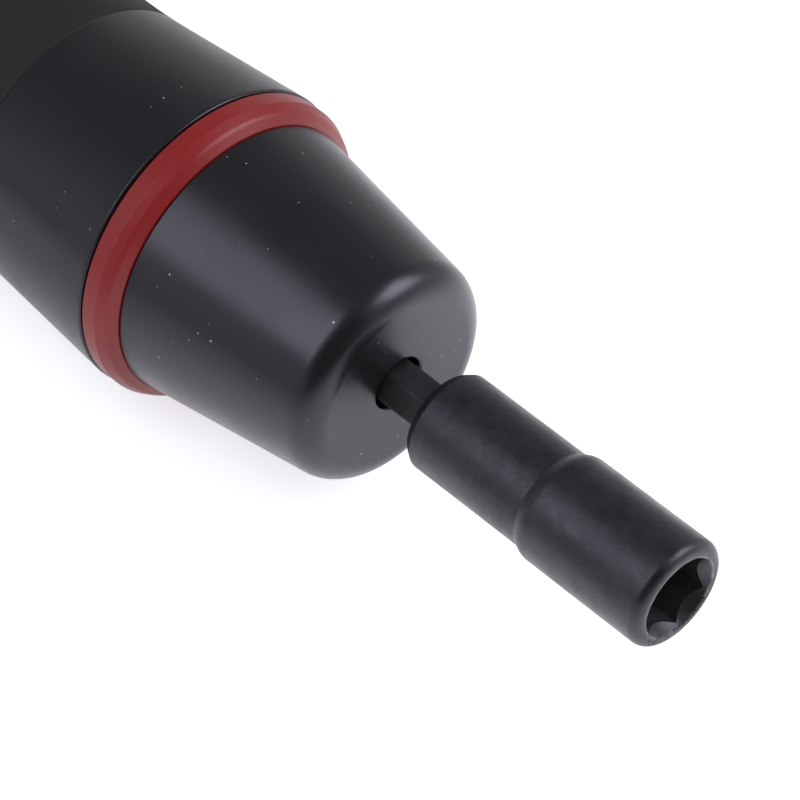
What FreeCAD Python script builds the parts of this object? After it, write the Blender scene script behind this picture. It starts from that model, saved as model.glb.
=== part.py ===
import FreeCAD, Part
import math
import os

from FreeCAD import Vector

# Adjustable torque-limiting screwdriver with a nut setter in its hexagon drive.
# Turning the rear knob moves a screw that compresses the main spring. The spring
# presses a ring of balls into pockets of a disc on the spindle, and the balls
# climb out of the pockets when the set torque is reached.
#
# The tool lies on its side, with its axis along X and its nose towards +X.
# Stations on the axis are counted from the nose face, which is at zero, and get
# smaller towards the rear. The finished pieces are then moved together, so that
# the origin is at the bottom centre of the tool. Lengths are in millimetres.

# Fits between pieces
FIT = 0.03                      # between pieces that are fixed to each other
RUNNING = 0.04                  # radial gap of a turning or sliding fit
LOOSE = 0.10                    # gap of a hexagon or key that slides
END_GAP = 0.3                   # end float between moving pieces
EDGE_ROUNDING = 0.4             # broken edges of turned metal pieces

# Nut setter
SETTER_LENGTH = 65.0
SETTER_HEAD_LENGTH = 41.5       # the round part in front of the shank
SETTER_INSERT = 15.5            # how deep the shank sits in the tool
SETTER_FRONT_RADIUS = 7.75
SETTER_FRONT_LENGTH = 20.3
SETTER_STEP_LENGTH = 1.5
SETTER_SHOULDER_ROUNDING = 3.0  # where the wide part meets the step
SETTER_STEP_ROUNDING = 0.3      # in the hollow corner behind the step
SETTER_REAR_RADIUS = 7.08
SETTER_FRONT_ROUNDING = 1.5
SETTER_CHAMFER_LENGTH = 1.25    # on the rear edge
SETTER_CHAMFER_DEPTH = 0.8
SETTER_CHAMFER_EDGE = 0.3
NUT_ACROSS_FLATS = 9.525
NUT_DEPTH = 12.0
NUT_MOUTH_RADIUS = 6.0
NUT_MOUTH_ANGLE = 34.0          # half angle of the countersink
NUT_MOUTH_EDGE = 0.25
NUT_TURN = 34.0                 # angle of one corner from +Y
SHANK_ACROSS_FLATS = 6.35
SHANK_TURN = 3.0                # angle of one corner from +Y
SHANK_CHAMFER = 0.7
SHANK_GROOVE_RADIUS = 2.4
SHANK_GROOVE_LENGTH = 3.4
SHANK_GROOVE_DISTANCE = 9.0     # from the end of the shank
SETTER_MAGNET_RADIUS = 3.5
SETTER_MAGNET_LENGTH = 3.5

# Nose cap: a plain cone with a flat front
NOSE_LENGTH = 31.0
NOSE_FRONT_RADIUS = 15.74       # where the cone would meet the front face
NOSE_BACK_RADIUS = 20.15
NOSE_ROUNDING = 4.2
NOSE_HOLE_RADIUS = 3.8
NOSE_HOLE_ROUNDING = 0.45
NOSE_CAVITY_GAP = 2.0           # around the thrust washer
NOSE_WALL = 3.0
NOSE_EDGE = 0.3

# Coloured ring between nose cap and handle
RING_LENGTH = 4.8
RING_RADIUS = 22.3
RING_BEVEL_LENGTH = 2.35        # from the ring's front to its cylindrical land
RING_BEVEL_DEPTH = 0.7
RING_LIP_LENGTH = 0.9           # from the ring's front to the foot of the bevel
RING_LIP_DEPTH = 2.0
RING_LIP_ROUNDING = 1.5
RING_EDGE = 0.2
RING_GROOVE_WIDTH = 0.25
RING_GROOVE_DEPTH = 0.6

# Handle: smooth shell in front, soft fluted sleeve behind
HANDLE_LENGTH = 73.25
SHOULDER_STEP = 0.2             # of the handle's front above the ring
SHOULDER_ROUNDING = 0.3
WAIST_DEPTH = 2.4               # of the narrowest place below the ring
WAIST_ROUNDING = 110.0
SWELL_STEP = 1.2                # of the widest place above the ring
SWELL_ROUNDING = 45.0
SWELL_LENGTH = 24.0             # from the narrowest to the widest place
TAIL_DEPTH = 1.9                # of the handle's rear below the ring
TAIL_LENGTH = 15.0              # from the widest place to the handle's rear
TAIL_ROUNDING = 2.0
SLEEVE_LENGTH = 43.0
SLEEVE_MARGIN = 5.0             # from the sleeve to the handle's rear
SLEEVE_THICKNESS = 1.9          # at the narrowest place
FLUTE_COUNT = 8
FLUTE_RADIUS = 9.0
FLUTE_DEPTH = 1.3

# Housing tube: runs through ring and handle, and holds the clutch
TUBE_BORE = 11.5
TUBE_WALL = 3.0
TUBE_ENGAGEMENT = 14.0          # length inside the nose cap
KEY_COUNT = 3
KEY_WIDTH = 3.0
KEY_DEPTH = 1.2

# Spindle and its bearing
BUSH_WALL = 2.5
BUSH_LENGTH = 11.0
WASHER_RADIUS = 10.0
WASHER_THICKNESS = 1.5
SPINDLE_RADIUS = 6.0
SPINDLE_SETBACK = 0.4           # from the inside of the nose wall
FLANGE_RADIUS = 9.5
FLANGE_THICKNESS = 4.5
DISC_HEX = 8.0
PILOT_RADIUS = 3.5
PILOT_LENGTH = 11.0
BIT_MAGNET_RADIUS = 2.9
BIT_MAGNET_LENGTH = 3.0
SNAP_WIRE = 0.9
SNAP_DEPTH = 8.0                # distance of the snap ring from the nose face
SNAP_OPENING = 60.0

# Ball clutch
DISC_GAP = 0.9                  # from the disc to the tube
DISC_THICKNESS = 5.0
BALL_RADIUS = 2.0
BALL_COUNT = 6
BALL_CIRCLE = 7.6
BALL_ENGAGEMENT = 1.0           # how deep a ball sits in the disc
POCKETS_PER_BALL = 2
CLIP_RADIUS = 5.2
CLIP_THICKNESS = 1.0
CLIP_GROOVE_DEPTH = 0.5
CLUTCH_GAP = 0.5
PLATE_THICKNESS = 9.0
PLATE_RECESS_GAP = 0.35         # from the retaining clip to the plate
PLATE_RECESS_DEPTH = 2.4

# Main spring and its seat
SPRING_WIRE = 2.4
SPRING_MEAN_RADIUS = 8.6
SPRING_COILS = 7.5
SPIGOT_GAP = 0.8                # from a spigot to the spring
SPIGOT_LENGTH = 5.0
SPIGOT_ROUNDING = 0.6
SEAT_GAP = 0.2                  # from the seat to the tube
SEAT_THICKNESS = 4.0
THRUST_BALL_RADIUS = 2.5
THRUST_GAP = 0.6                # between the seat and the screw's tip, beside the ball

# Adjuster: screw, scale barrel and knob
TRAVEL = 12.0                   # of the screw, from the lowest to the highest setting
SCREW_RADIUS = 6.0
TIP_RADIUS = 5.0
TIP_LENGTH = 12.0
COLLAR_RADIUS = 8.5
COLLAR_THICKNESS = 3.0
SCREW_HEX = 8.0
BARREL_SPIGOT_LENGTH = 8.0
BARREL_THREAD_LENGTH = 14.0
BARREL_FLANGE_STEP = 1.8
BARREL_FLANGE_THICKNESS = 2.5
BARREL_FLANGE_ROUNDING = 0.6
BARREL_RADIUS = 15.2
BARREL_BORE = 11.0
BARREL_OVERLAP = 8.0            # of knob and barrel at the lowest setting
SEAL_WIRE = 1.8
SEAL_DISTANCE = 3.5             # of the seal ring from the barrel's rear end
SEAL_GAP = 0.02                 # left between the seal ring and the knob's bore
KNOB_MARGIN = 1.5               # left in front of the knob at the highest setting
KNOB_FLOOR_MARGIN = 1.0
KNOB_END_THICKNESS = 8.0
KNOB_SKIRT_WALL = 2.3
KNOB_EDGE_WALL = 0.8
KNOB_BEVEL_LENGTH = 4.0
KNOB_GRIP_WALL = 4.3
KNOB_GRIP_LENGTH = 17.0
KNOB_ROUNDING = 1.5
KNOB_BEVEL_ROUNDING = 0.5
KNOB_FILLET = 0.8               # between skirt and grip
KNOB_FLUTE_COUNT = 18
KNOB_FLUTE_RADIUS = 2.2
KNOB_FLUTE_DEPTH = 0.9
CAP_RADIUS = 8.0
CAP_THICKNESS = 1.2
CAP_RECESS_DEPTH = 3.8
CAP_DISH_MARGIN = 1.4           # rim around the cap's shallow dish
CAP_DISH_DEPTH = 0.25
KNOB_SCREW_RADIUS = 2.0
KNOB_SCREW_LENGTH = 8.0
KNOB_SCREW_HEAD_RADIUS = 4.4
KNOB_SCREW_HEAD_HEIGHT = 2.2
KNOB_SCREW_KEY = 2.5
KNOB_SCREW_KEY_DEPTH = 1.3

ORIGIN = Vector(0, 0, 0)
AXIS = Vector(1, 0, 0)
CUT_MARGIN = 1.0                # how far a cutting tool runs past what it cuts

# Radii that follow from the walls and gaps
TUBE_RADIUS = TUBE_BORE + TUBE_WALL
BUSH_RADIUS = SPINDLE_RADIUS + BUSH_WALL
DISC_RADIUS = TUBE_BORE - DISC_GAP
SEAT_RADIUS = TUBE_BORE - SEAT_GAP
PLATE_RECESS_RADIUS = CLIP_RADIUS + PLATE_RECESS_GAP
SPIGOT_RADIUS = SPRING_MEAN_RADIUS - SPRING_WIRE / 2 - SPIGOT_GAP
WAIST_RADIUS = RING_RADIUS - WAIST_DEPTH
SWELL_RADIUS = RING_RADIUS + SWELL_STEP
SLEEVE_SEAT_RADIUS = WAIST_RADIUS - SLEEVE_THICKNESS
BARREL_FLANGE_RADIUS = BARREL_RADIUS + BARREL_FLANGE_STEP
KNOB_EDGE_RADIUS = BARREL_RADIUS + KNOB_EDGE_WALL
KNOB_SKIRT_RADIUS = BARREL_RADIUS + KNOB_SKIRT_WALL
KNOB_GRIP_RADIUS = BARREL_RADIUS + KNOB_GRIP_WALL

# Stations along the axis, from the nut setter's front to the knob's rear
SETTER_FRONT = SETTER_LENGTH - SETTER_INSERT
SETTER_HEAD_BACK = SETTER_FRONT - SETTER_HEAD_LENGTH
SETTER_END = -SETTER_INSERT
NOSE_BACK = -NOSE_LENGTH
RING_BACK = NOSE_BACK - RING_LENGTH
HANDLE_FRONT = RING_BACK - RING_GROOVE_WIDTH
HANDLE_BACK = HANDLE_FRONT - HANDLE_LENGTH
SWELL_STATION = HANDLE_BACK + TAIL_LENGTH
WAIST_STATION = SWELL_STATION + SWELL_LENGTH
SLEEVE_BACK = HANDLE_BACK + SLEEVE_MARGIN
SLEEVE_FRONT = SLEEVE_BACK + SLEEVE_LENGTH
TUBE_FRONT = NOSE_BACK + TUBE_ENGAGEMENT
BUSH_BACK = -NOSE_WALL - BUSH_LENGTH
WASHER_BACK = BUSH_BACK - WASHER_THICKNESS
SPINDLE_FRONT = -NOSE_WALL - SPINDLE_SETBACK
DRIVE_FLOOR = SETTER_END - LOOSE
FLANGE_BACK = WASHER_BACK - FLANGE_THICKNESS
DISC_BACK = FLANGE_BACK - DISC_THICKNESS
BALL_STATION = DISC_BACK - (BALL_RADIUS - BALL_ENGAGEMENT)
PLATE_FRONT = DISC_BACK - CLUTCH_GAP
PLATE_BACK = PLATE_FRONT - PLATE_THICKNESS
BARREL_FRONT = HANDLE_BACK + BARREL_SPIGOT_LENGTH
COLLAR_BACK = BARREL_FRONT + END_GAP
COLLAR_FRONT = COLLAR_BACK + COLLAR_THICKNESS
TIP_FRONT = COLLAR_FRONT + TIP_LENGTH
SEAT_BACK = TIP_FRONT + THRUST_GAP
SEAT_FRONT = SEAT_BACK + SEAT_THICKNESS
BARREL_FLANGE_BACK = HANDLE_BACK - BARREL_FLANGE_THICKNESS
KNOB_FRONT = BARREL_FLANGE_BACK - TRAVEL - KNOB_MARGIN
BARREL_BACK = KNOB_FRONT - BARREL_OVERLAP
KNOB_FLOOR = BARREL_BACK - TRAVEL - KNOB_FLOOR_MARGIN
KNOB_BACK = KNOB_FLOOR - KNOB_END_THICKNESS
CAP_RECESS_FLOOR = KNOB_BACK + CAP_RECESS_DEPTH


def outline_face(corners):
    """Face in the XZ plane through (station, radius) corners, each with an optional rounding."""
    places = [Vector(corner[0], 0, corner[1]) for corner in corners]
    roundings = [corner[2] if len(corner) > 2 else 0 for corner in corners]
    arcs = []
    entries = []
    exits = []
    for index, place in enumerate(places):
        back = (places[index - 1] - place).normalize()
        ahead = (places[(index + 1) % len(places)] - place).normalize()
        rounding = roundings[index]
        half_angle = back.getAngle(ahead) / 2
        reach = rounding / math.tan(half_angle)
        entries.append(place + back * reach)
        exits.append(place + ahead * reach)
        if rounding:
            inward = (back + ahead).normalize()
            middle = place + inward * (rounding / math.sin(half_angle) - rounding)
            arcs.append(Part.Arc(entries[-1], middle, exits[-1]).toShape())
        else:
            arcs.append(None)
    edges = []
    for index in range(len(places)):
        if arcs[index]:
            edges.append(arcs[index])
        entry = entries[(index + 1) % len(places)]
        edges.append(Part.LineSegment(exits[index], entry).toShape())
    return Part.Face(Part.Wire(edges))


def turned(corners):
    """Solid turned about the tool's axis from an outline of (station, radius) corners."""
    return outline_face(corners).revolve(ORIGIN, AXIS, 360)


def rod(radius, front, back):
    """Round bar on the axis between two stations."""
    return Part.makeCylinder(radius, front - back, Vector(back, 0, 0), AXIS)


def tube(radius, bore, front, back):
    """Round tube on the axis between two stations."""
    return turned([(front, bore), (front, radius), (back, radius), (back, bore)])


def hexagon(across_flats, front, back, turn):
    """Hexagonal bar on the axis, with one corner at an angle of turn from +Y."""
    corner_radius = across_flats / math.sqrt(3)
    corners = []
    for index in range(7):
        angle = math.radians(turn + 60 * index)
        corners.append(Vector(back, corner_radius * math.cos(angle), corner_radius * math.sin(angle)))
    return Part.Face(Part.makePolygon(corners)).extrude(AXIS * (front - back))


def around(shape, count, first=0.0):
    """Copies of a shape, evenly spaced around the axis."""
    copies = []
    for index in range(count):
        copy = shape.copy()
        copy.rotate(ORIGIN, AXIS, first + 360 * index / count)
        copies.append(copy)
    return copies


def sideways_rod(radius, distance, front, back):
    """Round bar parallel to the axis, at a distance above it."""
    return Part.makeCylinder(radius, front - back, Vector(back, 0, distance), AXIS)


def keys(width, radius, front, back):
    """Radial keys from the axis out to a radius, spaced like the tube's keyways."""
    key = Part.makeBox(front - back, width, radius, Vector(back, -width / 2, 0))
    return around(key, KEY_COUNT)


def nut_setter():
    """Stepped socket with a countersunk hexagon mouth and a grooved hexagon shank."""
    step_front = SETTER_FRONT - SETTER_FRONT_LENGTH
    step_back = step_front - SETTER_STEP_LENGTH
    countersink_depth = NUT_MOUTH_RADIUS / math.tan(math.radians(NUT_MOUTH_ANGLE))
    head = turned([
        (SETTER_FRONT - countersink_depth, 0),
        (SETTER_FRONT, NUT_MOUTH_RADIUS, NUT_MOUTH_EDGE),
        (SETTER_FRONT, SETTER_FRONT_RADIUS, SETTER_FRONT_ROUNDING),
        (step_front, SETTER_FRONT_RADIUS, SETTER_SHOULDER_ROUNDING),
        (step_back, SETTER_REAR_RADIUS, SETTER_STEP_ROUNDING),
        (SETTER_HEAD_BACK + SETTER_CHAMFER_LENGTH, SETTER_REAR_RADIUS, SETTER_CHAMFER_EDGE),
        (SETTER_HEAD_BACK, SETTER_REAR_RADIUS - SETTER_CHAMFER_DEPTH, SETTER_CHAMFER_EDGE),
        (SETTER_HEAD_BACK, 0),
    ])
    nut_floor = SETTER_FRONT - NUT_DEPTH
    pocket_floor = nut_floor - SETTER_MAGNET_LENGTH
    shank_corner = SHANK_ACROSS_FLATS / math.sqrt(3)
    chamfer_radius = shank_corner - SHANK_CHAMFER
    chamfering = turned([
        (SETTER_HEAD_BACK + CUT_MARGIN, 0),
        (SETTER_HEAD_BACK + CUT_MARGIN, shank_corner + CUT_MARGIN),
        (SETTER_END + SHANK_CHAMFER + CUT_MARGIN, shank_corner + CUT_MARGIN),
        (SETTER_END, chamfer_radius),
        (SETTER_END, 0),
    ])
    shank = hexagon(SHANK_ACROSS_FLATS, SETTER_HEAD_BACK, SETTER_END, SHANK_TURN).common(chamfering)
    groove_back = SETTER_END + SHANK_GROOVE_DISTANCE
    groove_front = groove_back + SHANK_GROOVE_LENGTH
    slope = shank_corner - SHANK_GROOVE_RADIUS
    groove = turned([
        (groove_front + slope, shank_corner + FIT),
        (groove_front, SHANK_GROOVE_RADIUS),
        (groove_back, SHANK_GROOVE_RADIUS),
        (groove_back - slope, shank_corner + FIT),
    ])
    socket = hexagon(NUT_ACROSS_FLATS, SETTER_FRONT + CUT_MARGIN, nut_floor, NUT_TURN)
    pocket = rod(SETTER_MAGNET_RADIUS + FIT, nut_floor + CUT_MARGIN, pocket_floor)
    return head.fuse(shank).cut([groove, socket, pocket])


def nut_setter_magnet():
    """Round magnet at the bottom of the nut setter's socket."""
    front = SETTER_FRONT - NUT_DEPTH
    return rod(SETTER_MAGNET_RADIUS, front, front - SETTER_MAGNET_LENGTH)


def nose_cap():
    """Conical cap with a flat front, bored for the bush and the housing tube."""
    cavity_radius = WASHER_RADIUS + NOSE_CAVITY_GAP
    return turned([
        (0, NOSE_HOLE_RADIUS, NOSE_HOLE_ROUNDING),
        (0, NOSE_FRONT_RADIUS, NOSE_ROUNDING),
        (NOSE_BACK, NOSE_BACK_RADIUS, NOSE_EDGE),
        (NOSE_BACK, TUBE_RADIUS + FIT),
        (TUBE_FRONT, TUBE_RADIUS + FIT),
        (TUBE_FRONT, cavity_radius),
        (BUSH_BACK, cavity_radius),
        (BUSH_BACK, BUSH_RADIUS + FIT),
        (-NOSE_WALL, BUSH_RADIUS + FIT),
        (-NOSE_WALL, NOSE_HOLE_RADIUS),
    ])


def front_bush():
    """Plain bearing bush of the spindle, pressed into the nose cap."""
    return tube(BUSH_RADIUS, SPINDLE_RADIUS + RUNNING, -NOSE_WALL, BUSH_BACK)


def front_thrust_washer():
    """Washer between the nose cap and the spindle's flange."""
    return tube(WASHER_RADIUS, SPINDLE_RADIUS + RUNNING, BUSH_BACK, WASHER_BACK)


def colour_ring():
    """Coloured ring: a flat land with a bevel in front that rolls over into a lip."""
    return turned([
        (NOSE_BACK, TUBE_RADIUS + FIT),
        (NOSE_BACK, RING_RADIUS - RING_LIP_DEPTH),
        (NOSE_BACK - RING_LIP_LENGTH, RING_RADIUS - RING_BEVEL_DEPTH, RING_LIP_ROUNDING),
        (NOSE_BACK - RING_BEVEL_LENGTH, RING_RADIUS, RING_EDGE),
        (RING_BACK, RING_RADIUS, RING_EDGE),
        (RING_BACK, TUBE_RADIUS + FIT),
    ])


def housing_tube():
    """Steel tube with keyways that guide the pressure plate."""
    body = tube(TUBE_RADIUS, TUBE_BORE, TUBE_FRONT, HANDLE_BACK)
    keyways = keys(KEY_WIDTH, TUBE_BORE + KEY_DEPTH, TUBE_FRONT + CUT_MARGIN, HANDLE_BACK - CUT_MARGIN)
    return body.cut(keyways)


def handle_blank():
    """Whole handle in one solid: straight tapers joined by wide arcs."""
    return turned([
        (RING_BACK, TUBE_RADIUS + FIT),
        (RING_BACK, RING_RADIUS - RING_GROOVE_DEPTH),
        (HANDLE_FRONT, RING_RADIUS - RING_GROOVE_DEPTH),
        (HANDLE_FRONT, RING_RADIUS + SHOULDER_STEP, SHOULDER_ROUNDING),
        (WAIST_STATION, WAIST_RADIUS, WAIST_ROUNDING),
        (SWELL_STATION, SWELL_RADIUS, SWELL_ROUNDING),
        (HANDLE_BACK, RING_RADIUS - TAIL_DEPTH, TAIL_ROUNDING),
        (HANDLE_BACK, TUBE_RADIUS + FIT),
    ])


def sleeve_space():
    """Space of the soft sleeve, from its seat out past the handle."""
    return tube(SWELL_RADIUS + CUT_MARGIN, SLEEVE_SEAT_RADIUS, SLEEVE_FRONT, SLEEVE_BACK)


def handle_shell():
    """Smooth hard shell that carries the soft sleeve."""
    return handle_blank().cut(sleeve_space())


def grip_sleeve():
    """Soft sleeve that follows the handle, with flutes that fade out at its ends."""
    sleeve = handle_blank().common(sleeve_space())
    peak = sleeve.optimalBoundingBox(False, False).ZMax
    distance = peak + FLUTE_RADIUS - FLUTE_DEPTH
    flute = sideways_rod(FLUTE_RADIUS, distance, HANDLE_FRONT, HANDLE_BACK)
    return sleeve.cut(around(flute, FLUTE_COUNT))


def spindle():
    """Output shaft with the hexagon drive, a flange and a hexagon for the clutch disc."""
    body = turned([
        (SPINDLE_FRONT, 0),
        (SPINDLE_FRONT, SPINDLE_RADIUS, EDGE_ROUNDING),
        (WASHER_BACK, SPINDLE_RADIUS),
        (WASHER_BACK, FLANGE_RADIUS, EDGE_ROUNDING),
        (FLANGE_BACK, FLANGE_RADIUS),
        (FLANGE_BACK, 0),
    ])
    disc_seat = hexagon(DISC_HEX, FLANGE_BACK, DISC_BACK, SHANK_TURN)
    pilot = rod(PILOT_RADIUS, DISC_BACK, DISC_BACK - PILOT_LENGTH)
    drive = hexagon(SHANK_ACROSS_FLATS + LOOSE, SPINDLE_FRONT + CUT_MARGIN, DRIVE_FLOOR, SHANK_TURN)
    magnet_pocket = rod(BIT_MAGNET_RADIUS + FIT, DRIVE_FLOOR + CUT_MARGIN, DRIVE_FLOOR - BIT_MAGNET_LENGTH)
    clip_floor = PILOT_RADIUS - CLIP_GROOVE_DEPTH
    clip_groove = tube(PILOT_RADIUS + FIT, clip_floor, DISC_BACK, DISC_BACK - CLIP_THICKNESS)
    snap_groove = rod(snap_radius() + SNAP_WIRE / 2 + FIT, *snap_groove_ends())
    return body.fuse([disc_seat, pilot]).cut([drive, magnet_pocket, clip_groove, snap_groove])


def snap_radius():
    """Mean radius of the snap ring, which just clears the corners of the shank."""
    return SHANK_ACROSS_FLATS / math.sqrt(3) + RUNNING + SNAP_WIRE / 2


def snap_groove_ends():
    """Front and back of the snap ring's groove in the drive."""
    return -SNAP_DEPTH + SNAP_WIRE / 2 + FIT, -SNAP_DEPTH - SNAP_WIRE / 2 - FIT


def bit_snap_ring():
    """Open wire ring in the drive, which grips the corners of a shank."""
    section = Part.makeCircle(SNAP_WIRE / 2, Vector(-SNAP_DEPTH, 0, snap_radius()), Vector(0, 1, 0))
    return Part.Face(Part.Wire(section)).revolve(ORIGIN, AXIS, 360 - SNAP_OPENING)


def bit_magnet():
    """Round magnet at the bottom of the drive."""
    return rod(BIT_MAGNET_RADIUS, DRIVE_FLOOR, DRIVE_FLOOR - BIT_MAGNET_LENGTH)


def clutch_disc():
    """Driven disc with a ring of spherical pockets on its rear face."""
    body = tube(DISC_RADIUS, PILOT_RADIUS - CLIP_GROOVE_DEPTH, FLANGE_BACK, DISC_BACK)
    bore = hexagon(DISC_HEX + FIT, FLANGE_BACK + CUT_MARGIN, DISC_BACK - CUT_MARGIN, SHANK_TURN)
    pocket = Part.makeSphere(BALL_RADIUS + RUNNING, Vector(BALL_STATION, 0, BALL_CIRCLE))
    return body.cut([bore] + around(pocket, POCKETS_PER_BALL * BALL_COUNT))


def disc_clip():
    """Retaining clip that holds the clutch disc on the spindle."""
    return tube(CLIP_RADIUS, PILOT_RADIUS - CLIP_GROOVE_DEPTH + FIT, DISC_BACK, DISC_BACK - CLIP_THICKNESS)


def clutch_balls():
    """Balls between the clutch disc and the pressure plate."""
    ball = Part.makeSphere(BALL_RADIUS, Vector(BALL_STATION, 0, BALL_CIRCLE))
    return Part.makeCompound(around(ball, BALL_COUNT))


def pressure_plate():
    """Keyed plate that carries the balls and is pushed forward by the main spring."""
    bore = PILOT_RADIUS + RUNNING
    body = turned([
        (PLATE_FRONT, PLATE_RECESS_RADIUS),
        (PLATE_FRONT, TUBE_BORE - LOOSE),
        (PLATE_BACK, TUBE_BORE - LOOSE),
        (PLATE_BACK, SPIGOT_RADIUS),
        (PLATE_BACK - SPIGOT_LENGTH, SPIGOT_RADIUS, SPIGOT_ROUNDING),
        (PLATE_BACK - SPIGOT_LENGTH, bore),
        (PLATE_FRONT - PLATE_RECESS_DEPTH, bore),
        (PLATE_FRONT - PLATE_RECESS_DEPTH, PLATE_RECESS_RADIUS),
    ])
    key_radius = TUBE_BORE + KEY_DEPTH - LOOSE
    key_ring = tube(key_radius + CUT_MARGIN, TUBE_BORE - 2 * LOOSE, PLATE_FRONT, PLATE_BACK)
    key_parts = [key.common(key_ring) for key in keys(KEY_WIDTH - LOOSE, key_radius, PLATE_FRONT, PLATE_BACK)]
    seat = Part.makeSphere(BALL_RADIUS + FIT, Vector(BALL_STATION, 0, BALL_CIRCLE))
    way_in = sideways_rod(BALL_RADIUS + FIT, BALL_CIRCLE, PLATE_FRONT + CUT_MARGIN, BALL_STATION)
    return body.fuse(key_parts).cut(around(seat.fuse(way_in), BALL_COUNT))


def main_spring():
    """Compression spring with ends ground flat."""
    length = PLATE_BACK - SEAT_FRONT
    pitch = length / SPRING_COILS
    path = Part.makeHelix(pitch, length + pitch, SPRING_MEAN_RADIUS)
    section = Part.makeCircle(SPRING_WIRE / 2, Vector(SPRING_MEAN_RADIUS, 0, 0), Vector(0, 1, 0))
    coil = Part.Wire(path).makePipeShell([Part.Wire(section)], True, True)
    coil.rotate(ORIGIN, Vector(0, 1, 0), 90)
    coil.translate(Vector(SEAT_FRONT - pitch / 2, 0, 0))
    ground = rod(SPRING_MEAN_RADIUS + SPRING_WIRE, PLATE_BACK, SEAT_FRONT)
    return coil.common(ground)


def spring_seat():
    """Disc behind the spring, with a cup for the thrust ball."""
    body = turned([
        (SEAT_FRONT + SPIGOT_LENGTH, 0),
        (SEAT_FRONT + SPIGOT_LENGTH, SPIGOT_RADIUS, SPIGOT_ROUNDING),
        (SEAT_FRONT, SPIGOT_RADIUS),
        (SEAT_FRONT, SEAT_RADIUS),
        (SEAT_BACK, SEAT_RADIUS, EDGE_ROUNDING),
        (SEAT_BACK, 0),
    ])
    return body.cut(thrust_sphere(THRUST_BALL_RADIUS + FIT))


def thrust_sphere(radius):
    """Sphere centred between the spring seat and the screw's tip."""
    return Part.makeSphere(radius, Vector((SEAT_BACK + TIP_FRONT) / 2, 0, 0))


def thrust_ball():
    """Ball between the turning screw and the spring seat, which doesn't turn."""
    return thrust_sphere(THRUST_BALL_RADIUS)


def adjusting_screw():
    """Screw with a stop collar, a plain tip and a hexagon for the knob."""
    hex_back = CAP_RECESS_FLOOR + FIT
    body = turned([
        (TIP_FRONT, 0),
        (TIP_FRONT, TIP_RADIUS, EDGE_ROUNDING),
        (COLLAR_FRONT, TIP_RADIUS),
        (COLLAR_FRONT, COLLAR_RADIUS, EDGE_ROUNDING),
        (COLLAR_BACK, COLLAR_RADIUS),
        (COLLAR_BACK, SCREW_RADIUS),
        (KNOB_FLOOR, SCREW_RADIUS),
        (KNOB_FLOOR, 0),
    ])
    hexagon_end = hexagon(SCREW_HEX, KNOB_FLOOR, hex_back, 0)
    tapped_hole = rod(KNOB_SCREW_RADIUS + FIT, hex_back + KNOB_SCREW_LENGTH, hex_back - CUT_MARGIN)
    return body.fuse(hexagon_end).cut([thrust_sphere(THRUST_BALL_RADIUS + RUNNING), tapped_hole])


def scale_barrel():
    """Barrel with the scale, screwed into the housing tube and threaded for the adjusting screw."""
    thread_back = BARREL_FRONT - BARREL_THREAD_LENGTH
    groove_middle = BARREL_BACK + SEAL_DISTANCE
    seal_floor = seal_radius() - SEAL_WIRE / 2 - FIT
    groove_half = SEAL_WIRE / 2 + LOOSE
    return turned([
        (BARREL_FRONT, SCREW_RADIUS + RUNNING),
        (BARREL_FRONT, TUBE_BORE - FIT),
        (HANDLE_BACK, TUBE_BORE - FIT),
        (HANDLE_BACK, BARREL_FLANGE_RADIUS, EDGE_ROUNDING),
        (BARREL_FLANGE_BACK, BARREL_FLANGE_RADIUS, BARREL_FLANGE_ROUNDING),
        (BARREL_FLANGE_BACK, BARREL_RADIUS),
        (groove_middle + groove_half, BARREL_RADIUS),
        (groove_middle + groove_half, seal_floor),
        (groove_middle - groove_half, seal_floor),
        (groove_middle - groove_half, BARREL_RADIUS),
        (BARREL_BACK, BARREL_RADIUS, EDGE_ROUNDING),
        (BARREL_BACK, BARREL_BORE),
        (thread_back, BARREL_BORE),
        (thread_back, SCREW_RADIUS + RUNNING),
    ])


def seal_radius():
    """Mean radius of the seal ring, whose outside just reaches the knob's bore."""
    return BARREL_RADIUS + RUNNING - SEAL_GAP - SEAL_WIRE / 2


def knob_seal_ring():
    """Rubber ring that holds the setting by its drag on the knob."""
    station = BARREL_BACK + SEAL_DISTANCE
    return Part.makeTorus(seal_radius(), SEAL_WIRE / 2, Vector(station, 0, 0), AXIS)


def adjusting_knob():
    """Knob whose bevelled skirt slides over the scale barrel as it turns."""
    skirt_bore = BARREL_RADIUS + RUNNING
    grip_front = KNOB_BACK + KNOB_GRIP_LENGTH
    body = turned([
        (KNOB_FRONT, skirt_bore),
        (KNOB_FRONT, KNOB_EDGE_RADIUS),
        (KNOB_FRONT - KNOB_BEVEL_LENGTH, KNOB_SKIRT_RADIUS, KNOB_BEVEL_ROUNDING),
        (grip_front, KNOB_SKIRT_RADIUS, KNOB_FILLET),
        (grip_front, KNOB_GRIP_RADIUS, KNOB_ROUNDING),
        (KNOB_BACK, KNOB_GRIP_RADIUS, KNOB_ROUNDING),
        (KNOB_BACK, CAP_RADIUS + FIT),
        (CAP_RECESS_FLOOR, CAP_RADIUS + FIT),
        (CAP_RECESS_FLOOR, KNOB_SCREW_RADIUS + FIT),
        (KNOB_FLOOR, KNOB_SCREW_RADIUS + FIT),
        (KNOB_FLOOR, skirt_bore),
    ])
    hexagon_hole = hexagon(SCREW_HEX + FIT, KNOB_FLOOR + CUT_MARGIN, CAP_RECESS_FLOOR - CUT_MARGIN, 0)
    distance = KNOB_GRIP_RADIUS + KNOB_FLUTE_RADIUS - KNOB_FLUTE_DEPTH
    flute = sideways_rod(KNOB_FLUTE_RADIUS, distance, grip_front + CUT_MARGIN, KNOB_BACK - CUT_MARGIN)
    return body.cut([hexagon_hole] + around(flute, KNOB_FLUTE_COUNT))


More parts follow.
